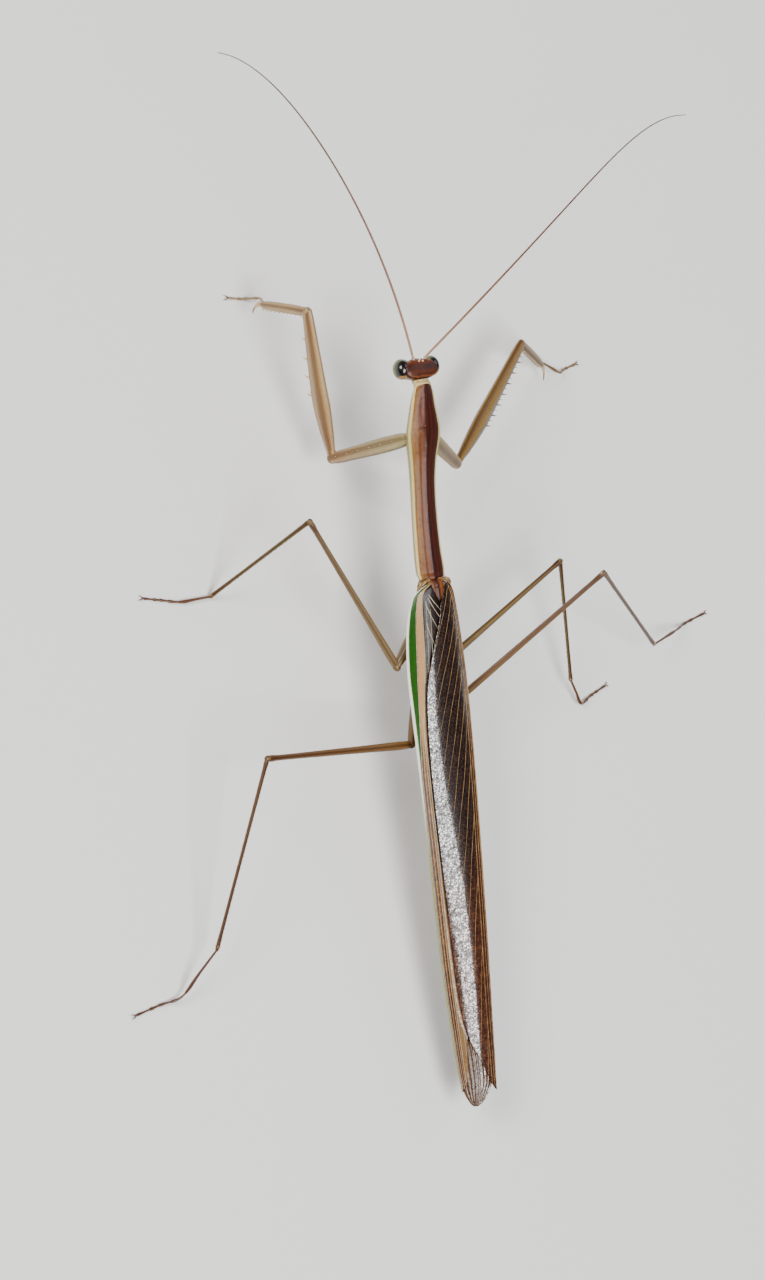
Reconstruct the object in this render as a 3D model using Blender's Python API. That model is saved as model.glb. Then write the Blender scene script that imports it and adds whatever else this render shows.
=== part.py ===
"""Praying mantis, a life-size still model of a male that stands on all six legs.

The mantis faces -Y and its left side is +X. Z is up and the feet stand on z = 0.
Lengths below are in millimetres. A point of the body is given as (x, s, h): x to the
mantis's left, s along the back from the front of the pronotum, h above the line of the back.
"""
import math

import bmesh
import bpy
from mathutils import Vector

mm = 0.001

# stance of the body
plan_centre = (-4.121, 23.806)     # middle of the whole outline, which stands on the origin
front_height = 18.3               # the back above the floor, at the front of the pronotum
pitch = math.radians(8.4)         # the back slopes down to the rear
seam = 0.08                       # clear gap between two neighbouring pieces

# head
head_place = (0.0, -1.9, 0.05)
head_tilt = math.radians(3)       # the mouth points down and a little back
eye_offset = (2.1, -0.05, 0.12)   # from the head's centre: out, back, up
eye_radii = (1.05, 1.18, 1.4)     # out, front to back, up and down
antenna_root = (0.79, -1.15, 0.85)   # from the head's centre: out, back, up

# head sections: height above the head's centre, half width, half depth, shift back
head_sections = [
    (1.10, 0.85, 0.45, 0.10),
    (0.90, 1.60, 0.95, 0.15),
    (0.45, 2.10, 1.25, 0.05),
    (-0.30, 2.15, 1.30, 0.00),
    (-1.00, 1.90, 1.10, 0.00),
    (-1.80, 1.35, 0.85, 0.00),
    (-2.50, 1.00, 0.78, 0.05),
    (-3.20, 0.80, 0.68, 0.10),
    (-3.75, 0.60, 0.50, 0.10),
    (-4.00, 0.35, 0.30, 0.10),
]

# antennae: length, heading at the root, turn along it, curl of the tip, rise at root, fall
antennae = {
    "left": (47.5, -74, 30, 35, 16, -10),
    "right": (52.0, -145, 0, -40, 8, -12),
}
antenna_thick = 0.5

# prothorax sections: s, half width at the margin, depth of the underside, rise of the back
pronotum_sections = [
    (0.0, 1.05, 1.5, 1.70),
    (0.9, 1.45, 2.0, 1.58),
    (2.5, 1.75, 2.4, 1.38),
    (4.2, 2.10, 2.7, 1.26),
    (5.6, 2.32, 2.9, 1.10),
    (7.0, 2.22, 3.0, 0.85),
    (9.0, 1.90, 2.8, 0.45),
    (12.0, 1.70, 2.6, 0.05),
    (16.0, 1.75, 2.5, -0.22),
    (20.0, 1.85, 2.6, -0.20),
    (22.6, 1.95, 2.6, 0.00),
    (23.6, 1.75, 2.3, 0.10),
]

# thorax that carries the wings: s, half width, top, bottom
thorax_sections = [
    (23.7, 1.50, -0.15, -2.4),
    (25.0, 1.95, -0.10, -3.4),
    (27.0, 2.20, -0.35, -4.3),
    (29.5, 2.30, -0.60, -4.7),
    (32.5, 2.32, -0.70, -4.7),
    (35.5, 2.25, -0.75, -4.6),
    (38.0, 1.95, -0.85, -4.2),
]

# small shield between the roots of the wings: s, half width, top, bottom
scutellum_sections = [
    (23.72, 0.75, 0.35, 0.00),
    (24.3, 1.00, 0.62, 0.00),
    (25.3, 0.85, 0.72, 0.00),
    (26.2, 0.28, 0.60, 0.02),
]

# abdomen: first and last s, greatest half width, depth, number of rings
abdomen_span = (38.2, 75.5)
abdomen_half_width = 2.05
abdomen_top = -0.9
abdomen_depth = 3.0
abdomen_rings = 8
cercus_length = 3.6

# folded wings: s, half width of the pair, fall from the crown to the edge
wing_thick = 0.5
wing_crown = 0.75                         # crown of the folded wings above the line of the back
wing_sections = [
    (24.1, 2.10, 0.50),
    (25.5, 2.75, 1.00),
    (28.0, 3.40, 1.50),
    (31.0, 3.85, 1.78),
    (35.0, 4.12, 1.80),
    (40.0, 4.08, 1.55),
    (46.0, 3.88, 1.20),
    (54.0, 3.68, 1.00),
    (64.0, 3.46, 0.88),
    (72.0, 3.25, 0.80),
    (78.0, 3.02, 0.72),
    (83.0, 2.82, 0.64),
    (90.0, 2.50, 0.55),
]
# how much wider the left side lies than the right
left_spread = [(24.1, 0.45), (26.0, 0.60), (29.0, 0.50), (33.0, 0.38), (40.0, 0.38), (46.0, 0.50), (60.0, 0.55),
               (74.0, 0.55), (80.0, 0.25), (86.0, 0.0)]
tips = {"left": 87.7, "right": 88.8}      # the right forewing lies on top
tip_middles = {"left": 2.35, "right": 0.7}
tip_round = 4.5                           # length over which a wing's tip is rounded
# where the pair meet, measured to the mantis's left, and the notch that leaves the shield bare
inner_edge = [(24.1, 0.0), (26.5, 0.05), (29.5, 0.6), (31.5, 1.2), (35.0, 2.0), (39.0, 2.5), (44.0, 2.6),
              (50.0, 2.5), (58.0, 2.2), (66.0, 1.9), (76.0, 1.5), (84.0, 1.2), (90.0, 1.0)]
notch = [(24.1, 1.25), (25.6, 1.0), (26.8, 0.05), (27.4, 0.0)]
hindwing_span = (28.5, 86.0)

# legs: lengths of coxa, femur, tibia, first tarsal joint, rest of the tarsus
leg_lengths = {
    "fore": (11.3, 19.4, 8.0, 4.5, 3.8),
    "mid": (5.2, 22.2, 16.8, 4.2, 5.0),
    "hind": (7.25, 24.1, 24.3, 7.0, 6.2),
}
# where each coxa starts: x, s, h
leg_roots = {
    "fore": (1.75, 6.3, -1.1),
    "mid": (1.3, 29.8, -3.0),
    "hind": (1.4, 36.6, -3.0),
}
# the pose: heading and rise, in degrees, of each length in turn; the foot has a heading only
leg_pose = {
    ("fore", "left"): ((7.5, -69), (-75.5, 21.5), (-59, -71), (-149, -59), -9),
    ("fore", "right"): ((157, -38.5), (-134.5, -4), (157, -36), (163, -24), -166),
    ("mid", "left"): ((50, -6.5), (-59.5, 9.5), (43, -54), (1, -1), -13),
    ("mid", "right"): ((113, -21), (-153, 0), (102, -23), (124, -23), -160),
    ("hind", "left"): ((73.5, -8.5), (-4, 12), (76, -24), (50, -26), 10),
    ("hind", "right"): ((153, -37.5), (-141, 34.5), (149, -37), (-168, -25), -166),
}
# half thickness, across and in the plane of the bend, at set shares of each length
coxa_shape = {
    "fore": [(0.0, 0.70, 0.80), (0.3, 0.78, 0.92), (1.0, 0.68, 0.80)],
    "mid": [(0.0, 0.75, 0.75), (0.4, 0.75, 0.80), (1.0, 0.50, 0.50)],
    "hind": [(0.0, 0.80, 0.80), (0.4, 0.78, 0.85), (1.0, 0.55, 0.55)],
}
femur_shape = {
    "fore": [(0.0, 0.50, 0.60), (0.06, 0.55, 0.75), (0.3, 0.80, 1.15), (0.6, 0.70, 1.0), (1.0, 0.55, 0.70)],
    "mid": [(0.0, 0.42, 0.45), (0.06, 0.45, 0.55), (0.5, 0.38, 0.44), (1.0, 0.34, 0.40)],
    "hind": [(0.0, 0.45, 0.50), (0.06, 0.50, 0.60), (0.5, 0.40, 0.48), (1.0, 0.35, 0.42)],
}
tibia_shape = {
    "fore": [(0.0, 0.42, 0.50), (0.15, 0.48, 0.66), (0.8, 0.42, 0.58), (1.0, 0.36, 0.45)],
    "mid": [(0.0, 0.30, 0.32), (0.1, 0.27, 0.27), (1.0, 0.28, 0.28)],
    "hind": [(0.0, 0.30, 0.32), (0.1, 0.28, 0.28), (1.0, 0.29, 0.29)],
}
tibial_claw = (2.9, 62, 0.14)     # length, bend in degrees, half thickness of the tip
tarsus_half_thick = 0.26
sole_height = 0.22                # height of the foot's middle line, so that its sole is flat
femur_belly = 0.35                # how far the fore femur swells on its flexor side
spine_height = {"femur": 0.16, "tibia": 0.24}


def body_point(x, s, h):
    """World place of a point of the body."""
    y = s * math.cos(pitch) + h * math.sin(pitch) - plan_centre[1]
    z = front_height - s * math.sin(pitch) + h * math.cos(pitch)
    return Vector((x - plan_centre[0], y, z)) * mm


def heading_vector(heading, rise):
    """Unit vector from a compass heading and a rise above level, in degrees."""
    a = math.radians(heading)
    e = math.radians(rise)
    return Vector((math.cos(e) * math.cos(a), math.cos(e) * math.sin(a), math.sin(e)))


def read_off(stations, at):
    """Smooth values between the stations of a table whose first column is the place."""
    if at <= stations[0][0]:
        return stations[0][1:]
    for low, high in zip(stations, stations[1:]):
        if at <= high[0]:
            t = (at - low[0]) / (high[0] - low[0])
            t = t * t * (3 - 2 * t) * 0.4 + t * 0.6
            return tuple(a + (b - a) * t for a, b in zip(low[1:], high[1:]))
    return stations[-1][1:]


def make_material(name, colour, roughness, metallic=0.0):
    material = bpy.data.materials.new(name)
    material.use_nodes = True
    shader = material.node_tree.nodes["Principled BSDF"]
    shader.inputs["Base Color"].default_value = (*colour, 1.0)
    shader.inputs["Roughness"].default_value = roughness
    shader.inputs["Metallic"].default_value = metallic
    return material


def make_object(name, bm, material):
    """Turn a finished bmesh into an object with outward faces."""
    bmesh.ops.recalc_face_normals(bm, faces=bm.faces)
    if bm.calc_volume(signed=True) < 0:
        bmesh.ops.reverse_faces(bm, faces=bm.faces)
    mesh = bpy.data.meshes.new(name)
    bm.to_mesh(mesh)
    bm.free()
    mesh.materials.append(material)
    mesh.shade_smooth()
    mesh.set_sharp_from_angle(angle=math.radians(35))
    item = bpy.data.objects.new(name, mesh)
    bpy.context.scene.collection.objects.link(item)
    return item


def loft(name, rings, material):
    """Closed body through a row of rings that have the same number of points."""
    bm = bmesh.new()
    loops = [[bm.verts.new(point) for point in ring] for ring in rings]
    for near, far in zip(loops, loops[1:]):
        for i in range(len(near)):
            bm.faces.new((near[i - 1], near[i], far[i], far[i - 1]))
    bm.faces.new(loops[0])
    bm.faces.new(loops[-1])
    return make_object(name, bm, material)


def body_ring(s, sides, half_width, top, bottom, power=2.0):
    """Rounded ring across the body, from h = bottom to h = top."""
    middle = (top + bottom) / 2
    half_height = (top - bottom) / 2
    ring = []
    for i in range(sides):
        a = 2 * math.pi * i / sides
        x = half_width * math.copysign(abs(math.cos(a)) ** (2 / power), math.cos(a))
        h = middle + half_height * math.copysign(abs(math.sin(a)) ** (2 / power), math.sin(a))
        ring.append(body_point(x, s, h))
    return ring


def sweep(name, path, halves, across, sides, material, teeth=None):
    """Body along a path; halves are its half thickness across and in the plane of the bend.

    teeth adds a height on the flexor side at each point of the path. Nothing goes below the floor.
    """
    rings = []
    for i, place in enumerate(path):
        ahead = path[min(i + 1, len(path) - 1)] - path[max(i - 1, 0)]
        ahead.normalize()
        side = across - ahead * across.dot(ahead)
        side.normalize()
        flexor = side.cross(ahead)
        ring = []
        for k in range(sides):
            a = 2 * math.pi * (k + 0.5) / sides
            reach = halves[i][1]
            if teeth and math.sin(a) > 0.5:
                reach += teeth[i]
            point = place + side * math.cos(a) * halves[i][0] * mm + flexor * math.sin(a) * reach * mm
            point.z = max(point.z, 0.0)
            ring.append(point)
        rings.append(ring)
    return loft(name, rings, material)


def ellipsoids(name, centres, radii, axes, rings, sides, material):
    """Closed ellipsoids of one size, one at each centre, with poles on the third axis."""
    bm = bmesh.new()
    for centre in centres:
        sphere = bmesh.ops.create_uvsphere(bm, u_segments=sides, v_segments=rings, radius=1.0)
        for v in sphere["verts"]:
            v.co = centre + sum((axes[k] * v.co[k] * radii[k] * mm for k in range(3)), Vector())
    return make_object(name, bm, material)


def cut_away(item, cutter):
    """Take the cutter's shape out of an object, and keep the cutter as a hidden guide."""
    cutter.hide_render = True
    cutter.display_type = "WIRE"
    cut = item.modifiers.new("Cut " + cutter.name, "BOOLEAN")
    cut.operation = "DIFFERENCE"
    cut.solver = "EXACT"
    cut.object = cutter


def head_frame():
    """Centre of the head and its axes: left, back and up."""
    centre = body_point(*head_place)
    tilt = head_tilt
    back = Vector((0, math.cos(tilt), math.sin(tilt)))
    up = Vector((0, -math.sin(tilt), math.cos(tilt)))
    return centre, (Vector((1, 0, 0)), back, up)


def head_point(x, back, up):
    centre, axes = head_frame()
    return centre + (axes[0] * x + axes[1] * back + axes[2] * up) * mm


def make_head(material, eye_material):
    sides = 20
    rings = []
    for up, half_width, half_depth, shift in head_sections:
        ring = []
        for i in range(sides):
            a = 2 * math.pi * i / sides
            ring.append(head_point(half_width * math.cos(a), shift + half_depth * math.sin(a), up))
        rings.append(ring)
    head = loft("head", rings, material)
    centre, axes = head_frame()
    places = [head_point(sign * eye_offset[0], eye_offset[1], eye_offset[2]) for sign in (1, -1)]
    ellipsoids("eye_left", places[:1], eye_radii, axes, 12, 18, eye_material)
    ellipsoids("eye_right", places[1:], eye_radii, axes, 12, 18, eye_material)
    socket_radii = [r + 1.5 * seam for r in eye_radii]
    cut_away(head, ellipsoids("eye_sockets", places, socket_radii, axes, 11, 17, material))
    return head


def make_antenna(side, material):
    length, heading, turn, curl, rise, fall = antennae[side]
    steps = 26
    sign = 1 if side == "left" else -1
    place = head_point(sign * antenna_root[0], antenna_root[1], antenna_root[2])
    path = [place]
    for i in range(steps):
        t = (i + 0.5) / steps
        place = place + heading_vector(heading + turn * t + curl * t ** 8, rise + fall * t) * length / steps * mm
        path.append(place)
    halves = [(antenna_thick / 2, antenna_thick / 2)] * len(path)
    return sweep("antenna_" + side, path, halves, Vector((0, 0, 1)), 6, material)


def make_neck(material):
    rings = [
        body_ring(-0.45, 14, 0.85, 1.45, 0.0),
        body_ring(-0.28, 14, 1.05, 1.60, 0.1),
        body_ring(-seam, 14, 0.95, 1.55, 0.2),
    ]
    return loft("neck", rings, material)


def pronotum_ring(s, half_width, depth, rise):
    """Ring with a keeled roof, thin side margins and a rounded underside."""
    half = [
        (0.0, 0.0),
        (0.38 * half_width, -0.12),
        (0.78 * half_width, -0.38),
        (half_width, -0.75),
        (0.90 * half_width, -1.00),
        (0.82 * half_width, -0.62 * depth),
        (0.45 * half_width, -0.93 * depth),
    ]
    right = [body_point(x, s, h + rise) for x, h in half]
    left = [body_point(-x, s, h + rise) for x, h in reversed(half[1:])]
    return right + [body_point(0.0, s, rise - depth)] + left


def make_pronotum(material):
    rings = [pronotum_ring(*row) for row in pronotum_sections]
    return loft("pronotum", rings, material)


def make_thorax(material):
    rings = []
    for s, half_width, top, bottom in thorax_sections:
        rings.append(body_ring(s, 18, half_width, top, bottom, 2.3))
    return loft("thorax", rings, material)


def abdomen_half(s):
    """Half width of the abdomen: widest past the middle, drawn in at the joint of each ring."""
    first, last = abdomen_span
    t = (s - first) / (last - first)
    bulge = 1.0 - 0.45 * max(1 - t / 0.22, 0.0) ** 1.5 - 1.1 * max(t - 0.62, 0.0) ** 1.3
    joint = 0.03 * math.cos(2 * math.pi * t * abdomen_rings)
    return abdomen_half_width * (bulge - joint)


def make_scutellum(material):
    rings = []
    for s, half_width, top, bottom in scutellum_sections:
        rings.append(body_ring(s, 12, half_width, top, bottom))
    return loft("scutellum", rings, material)


def make_abdomen(material):
    first, last = abdomen_span
    count = abdomen_rings * 2 + 1
    rings = []
    for i in range(count):
        s = first + (last - first) * i / (count - 1)
        half = abdomen_half(s)
        depth = abdomen_depth * half / abdomen_half_width
        rings.append(body_ring(s, 16, half, abdomen_top, abdomen_top - depth))
    return loft("abdomen", rings, material)


def make_cercus(side, material):
    sign = 1 if side == "left" else -1
    last = abdomen_span[1]
    start = body_point(sign * 0.75, last + 0.3, abdomen_top - 0.8)
    end = body_point(sign * 1.75, last + cercus_length, abdomen_top - 0.9)
    steps = 5
    path = [start.lerp(end, i / steps) for i in range(steps + 1)]
    halves = [(0.32 - 0.09 * i / steps,) * 2 for i in range(steps + 1)]
    return sweep("cercus_" + side, path, halves, Vector((0, 0, 1)), 6, material)


def wing_row(side, s):
    """Half width of one side of the folded wings, and their fall."""
    half_width, fall = read_off(wing_sections, s)
    if side == "left":
        half_width += read_off(left_spread, s)[0]
    return half_width, fall


def wing_top(x, s, half_width, fall):
    """Height of the folded wings over the line of the back."""
    return wing_crown - fall * (abs(x) / half_width) ** 2.4


def tip_share(s, tip):
    """Share of the width that is left near a wing's rounded tip."""
    over = max(s - (tip - tip_round), 0.0) / tip_round
    return math.sqrt(max(1 - over ** 2.2, 0.0))


def make_tegmen(side, material):
    """Forewing as a curved shell from its outer edge to the slanting line where the pair meet."""
    sign = 1 if side == "left" else -1
    tip = tips[side]
    columns = 6
    rings = []
    stations = [row[0] for row in wing_sections if row[0] < tip - tip_round]
    stations = sorted(stations + [25.3, 26.8])
    stations += [tip - tip_round * share for share in (1.0, 0.6, 0.3, 0.12, 0.02)]
    for s in stations:
        half_width, fall = wing_row(side, s)
        inner = read_off(inner_edge, s)[0] + sign * read_off(notch, s)[0]
        if side == "right":
            inner -= seam
        outer = half_width * sign
        share = tip_share(s, tip)
        middle = tip_middles[side]
        low = middle + (inner - middle) * share
        high = middle + (outer - middle) * share
        row = [low + (high - low) * k / columns for k in range(columns + 1)]
        upper = [body_point(x, s, wing_top(x, s, half_width, fall)) for x in row]
        lower = [body_point(x, s, wing_top(x, s, half_width, fall) - wing_thick) for x in reversed(row)]
        rings.append(upper + lower)
    return loft("tegmen_" + side, rings, material)


def make_hindwing(side, material):
    """Folded hindwing under the forewings, a thin fan that stops just short of their tips."""
    sign = 1 if side == "left" else -1
    first, last = hindwing_span
    steps = 10
    rings = []
    for i in range(steps + 1):
        s = first + (last - first) * i / steps
        half_width, fall = wing_row(side, s)
        share = tip_share(s, last + 0.05)
        outer = (half_width - 0.5) * share
        row = [seam / 2 + (outer - seam / 2) * k / 4 for k in range(5)]
        heights = [wing_top(x, s, half_width, fall) - wing_thick - 2.2 * seam for x in row]
        upper = [body_point(sign * x, s, h) for x, h in zip(row, heights)]
        lower = [body_point(sign * x, s, h - wing_thick) for x, h in zip(row, heights)]
        rings.append(upper + lower[::-1])
    return loft("hindwing_" + side, rings, material)


def leg_joints(leg, side):
    """World places of the joints of a leg: root, hip, knee, ankle, bend of the foot, toe."""
    sign = 1 if side == "left" else -1
    x, s, h = leg_roots[leg]
    place = body_point(sign * x, s, h)
    places = [place]
    lengths = leg_lengths[leg]
    pose = leg_pose[(leg, side)]
    for length, (heading, rise) in zip(lengths[:4], pose[:4]):
        place = place + heading_vector(heading, rise) * length * mm
        places.append(place)
    drop = place.z / mm - sole_height
    flat = math.sqrt(max(lengths[4] ** 2 - drop ** 2, 0.1))
    toe = place + heading_vector(pose[4], 0) * flat * mm
    toe.z = sole_height * mm
    places.append(toe)
    return places


def straight_path(start, end, shares):
    return [start.lerp(end, t) for t in shares]


def make_limb(name, start, end, shape, across, sides, shares, lead, material, teeth=None):
    """Straight limb piece. It starts lead past its first joint and ends in a dome on its last."""
    direction = (end - start).normalized()
    first = start + direction * lead * mm
    radius = shape[-1][2]
    shares = list(shares)
    path = straight_path(first, end, shares)
    halves = [read_off(shape, t) for t in shares]
    for angle in (40, 75):
        a = math.radians(angle)
        path.append(end + direction * radius * math.sin(a) * mm)
        halves.append((shape[-1][1] * math.cos(a), shape[-1][2] * math.cos(a)))
    if teeth:
        teeth = list(teeth) + [0.0, 0.0]
    return sweep(name, path, halves, across, sides, material, teeth)


def joint_lead(before, joint, after, joint_radius, start_radius):
    """How far past a joint the next piece starts, so that it clears the piece before it."""
    fold = -(joint - before).normalized().dot((after - joint).normalized())
    lead = joint_radius + seam
    if fold > 0:
        lead = (lead + start_radius * fold) / math.sqrt(1 - fold * fold)
    return lead


def make_coxa(leg, side, joints, material):
    across = (joints[1] - joints[0]).cross(joints[2] - joints[1])
    shares = (0.0, 0.3, 0.65, 1.0)
    return make_limb("%s_coxa_%s" % (leg, side), joints[0], joints[1], coxa_shape[leg], across, 8,
                     shares, 0.0, material)


def make_femur(leg, side, joints, material):
    across = (joints[2] - joints[1]).cross(joints[3] - joints[2])
    lead = joint_lead(*joints[:3], coxa_shape[leg][-1][2], femur_shape[leg][0][2])
    if leg == "fore":
        count = 22
        shares = [i / count for i in range(count + 1)]
        teeth = [femur_belly * math.sin(math.pi * t) for t in shares]
        for i in range(9, 21, 2):
            teeth[i] += spine_height["femur"]
        sides = 8
    else:
        shares = (0.0, 0.06, 0.3, 0.6, 1.0)
        teeth = None
        sides = 6
    return make_limb("%s_femur_%s" % (leg, side), joints[1], joints[2], femur_shape[leg], across,
                     sides, shares, lead, material, teeth)


def make_fore_tibia(side, joints, material):
    """Grasping tibia with a comb on its flexor side, drawn out into a curved claw."""
    across = (joints[2] - joints[1]).cross(joints[3] - joints[2]).normalized()
    direction = (joints[3] - joints[2]).normalized()
    lead = joint_lead(*joints[1:4], femur_shape["fore"][-1][2], tibia_shape["fore"][0][2])
    start = joints[2] + direction * lead * mm
    count = 16
    shares = [i / count for i in range(count + 1)]
    path = straight_path(start, joints[3], shares)
    halves = [read_off(tibia_shape["fore"], t) for t in shares]
    teeth = [spine_height["tibia"] if i % 2 and i > 1 else 0.0 for i in range(count + 1)]
    length, bend, tip = tibial_claw
    steps = 5
    place = joints[3]
    flexor = across.cross(direction)
    base_across, base_deep = halves[-1]
    for i in range(steps):
        t = (i + 1) / steps
        a = math.radians(bend * (i + 0.5) / steps)
        place = place + (direction * math.cos(a) + flexor * math.sin(a)) * length / steps * mm
        path.append(place)
        halves.append((base_across + (tip - base_across) * t, base_deep + (tip - base_deep) * t))
        teeth.append(0.0)
    return sweep("fore_tibia_" + side, path, halves, across, 8, material, teeth)


def make_tibia(leg, side, joints, material):
    across = (joints[2] - joints[1]).cross(joints[3] - joints[2])
    lead = joint_lead(*joints[1:4], femur_shape[leg][-1][2], tibia_shape[leg][0][2])
    return make_limb("%s_tibia_%s" % (leg, side), joints[2], joints[3], tibia_shape[leg], across, 6,
                     (0.0, 0.1, 0.5, 1.0), lead, material)


def make_tarsus(leg, side, joints, material):
    """Foot: a raised first joint, then the short joints, which end flat on the floor."""
    ankle, bend, toe = joints[3:6]
    direction = (bend - ankle).normalized()
    if leg == "fore":
        shin = (ankle - joints[2]).normalized()
        across = (joints[2] - joints[1]).cross(shin).normalized()
        start = ankle + (direction * 0.95 + shin.cross(across) * 0.56) * mm
    else:
        start = ankle + direction * (tibia_shape[leg][-1][2] + seam) * mm
    flat_start = bend.lerp(toe, 0.45)
    flat_start.z = sole_height * mm
    corners = [start, bend, flat_start, toe]
    path = []
    for t in (0.0, 0.45, 0.8):
        path.append(corners[0].lerp(corners[1], t))
    path.append(corners[1].lerp(corners[2], 0.3))
    path += [corners[2], corners[2].lerp(corners[3], 0.7), corners[3]]
    half = tarsus_half_thick
    halves = [(half, half)] * (len(path) - 1) + [(0.8 * half, 0.8 * half)]
    return sweep("%s_tarsus_%s" % (leg, side), path, halves, Vector((0, 0, 1)), 8, material)


def make_socket(leg, side, joints, carrier, material):
    """Cut a well for the start of the coxa into the piece that carries the leg."""
    across = (joints[1] - joints[0]).cross(joints[2] - joints[1])
    direction = (joints[1] - joints[0]).normalized()
    shares = (0.0, 0.3, 0.65, 1.0)
    path = straight_path(joints[0], joints[1], shares)
    path[0] = joints[0] - direction * seam * mm
    halves = []
    for t in shares:
        wide, deep = read_off(coxa_shape[leg], t)
        halves.append((wide + 1.5 * seam, deep + 1.5 * seam))
    socket = sweep("socket_%s_%s" % (leg, side), path, halves, across, 8, material)
    cut_away(carrier, socket)


def make_leg(leg, side, materials, carrier):
    joints = leg_joints(leg, side)
    make_coxa(leg, side, joints, materials["coxa"])
    make_femur(leg, side, joints, materials["femur"])
    if leg == "fore":
        make_fore_tibia(side, joints, materials["tibia"])
    else:
        make_tibia(leg, side, joints, materials["tibia"])
    make_tarsus(leg, side, joints, materials["tarsus"])
    make_socket(leg, side, joints, carrier, materials["coxa"])


def main():
    for item in list(bpy.data.objects):
        bpy.data.objects.remove(item)
    vertex = make_material("head brown", (0.23, 0.10, 0.05), 0.4)
    eye = make_material("eye", (0.16, 0.12, 0.08), 0.15)
    feeler = make_material("antenna brown", (0.35, 0.20, 0.12), 0.5)
    membrane = make_material("neck cream", (0.72, 0.68, 0.45), 0.5)
    tan = make_material("back tan", (0.47, 0.30, 0.14), 0.45)
    olive = make_material("thorax olive", (0.45, 0.40, 0.20), 0.5)
    wing = make_material("wing brown", (0.30, 0.20, 0.11), 0.35)
    hindwing = make_material("hindwing smoke", (0.20, 0.15, 0.10), 0.35)
    fore_leg = {
        "coxa": make_material("coxa tan", (0.60, 0.50, 0.28), 0.45),
        "femur": make_material("femur tan", (0.58, 0.44, 0.25), 0.4),
        "tibia": make_material("tibia tan", (0.62, 0.48, 0.30), 0.4),
        "tarsus": make_material("tarsus cream", (0.55, 0.45, 0.33), 0.5),
    }
    walking_leg = {
        "coxa": make_material("hip olive", (0.50, 0.46, 0.26), 0.45),
        "femur": make_material("thigh olive", (0.45, 0.38, 0.20), 0.45),
        "tibia": make_material("shin brown", (0.38, 0.26, 0.13), 0.45),
        "tarsus": make_material("foot brown", (0.35, 0.20, 0.13), 0.5),
    }
    make_head(vertex, eye)
    make_neck(membrane)
    pronotum = make_pronotum(tan)
    thorax = make_thorax(olive)
    make_scutellum(vertex)
    make_abdomen(olive)
    for side in ("left", "right"):
        make_antenna(side, feeler)
        make_cercus(side, olive)
        make_tegmen(side, wing)
        make_hindwing(side, hindwing)
        make_leg("fore", side, fore_leg, pronotum)
        make_leg("mid", side, walking_leg, thorax)
        make_leg("hind", side, walking_leg, thorax)


main()
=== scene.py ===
import random
from math import atan2, copysign, cos, degrees, exp, floor, pi, radians, sin, sqrt

import bpy
import numpy as np
from mathutils import Matrix, Vector


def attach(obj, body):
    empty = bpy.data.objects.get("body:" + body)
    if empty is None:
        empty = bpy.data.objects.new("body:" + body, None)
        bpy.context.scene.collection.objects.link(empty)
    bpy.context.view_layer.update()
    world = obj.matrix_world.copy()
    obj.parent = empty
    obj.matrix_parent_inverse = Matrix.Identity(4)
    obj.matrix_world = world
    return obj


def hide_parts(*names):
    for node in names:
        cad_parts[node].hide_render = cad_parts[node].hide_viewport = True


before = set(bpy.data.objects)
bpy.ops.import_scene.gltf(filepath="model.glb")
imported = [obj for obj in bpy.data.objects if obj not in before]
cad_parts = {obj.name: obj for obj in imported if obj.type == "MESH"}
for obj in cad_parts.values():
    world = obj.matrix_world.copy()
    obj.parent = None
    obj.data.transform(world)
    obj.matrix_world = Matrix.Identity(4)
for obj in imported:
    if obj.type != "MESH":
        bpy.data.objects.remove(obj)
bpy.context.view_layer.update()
mm = 0.001
bothSides = (("left", 1), ("right", -1))
print("frame loaded")


# places on the body, shared by every piece: x to the left, s backwards, h upwards, in millimetres
stance = {
    "centre": (-4.121, 23.806),     # plan middle of the whole outline
    "frontHeight": 18.3,            # the back above the floor at the front of the pronotum
    "pitch": radians(8.4),          # the back slopes down to the rear
}


def bodyPoint(x, s, h):
    c = cos(stance["pitch"])
    n = sin(stance["pitch"])
    y = s * c + h * n - stance["centre"][1]
    z = stance["frontHeight"] - s * n + h * c
    return Vector((x - stance["centre"][0], y, z)) * mm


def heading(around, rise):
    a = radians(around)
    e = radians(rise)
    return Vector((cos(e) * cos(a), cos(e) * sin(a), sin(e)))


def smoothRead(rows, at):
    # smooth values from rows of (place, value, value, ...)
    if at <= rows[0][0]:
        return tuple(rows[0][1:])
    if at >= rows[-1][0]:
        return tuple(rows[-1][1:])
    i = 0
    while rows[i + 1][0] < at:
        i += 1
    a = rows[i]
    b = rows[i + 1]
    before = rows[max(i - 1, 0)]
    after = rows[min(i + 2, len(rows) - 1)]
    span = b[0] - a[0]
    t = (at - a[0]) / span
    out = []
    for k in range(1, len(a)):
        slopeA = (b[k] - before[k]) / (b[0] - before[0]) * span
        slopeB = (after[k] - a[k]) / (after[0] - a[0]) * span
        out.append(
            a[k] * (2 * t ** 3 - 3 * t ** 2 + 1) + slopeA * (t ** 3 - 2 * t ** 2 + t)
            + b[k] * (3 * t ** 2 - 2 * t ** 3) + slopeB * (t ** 3 - t ** 2))
    return tuple(out)


def bump(value, centre, width):
    return exp(-((value - centre) / width) ** 2)


def rounded(angle, power):
    # a point on a circle that is drawn out towards a square
    return [copysign(abs(v) ** (2 / power), v) for v in (cos(angle), sin(angle))]


# mesh helpers
def newShape():
    return {"points": [], "faces": [], "uvs": [], "slots": [], "marks": []}


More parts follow.
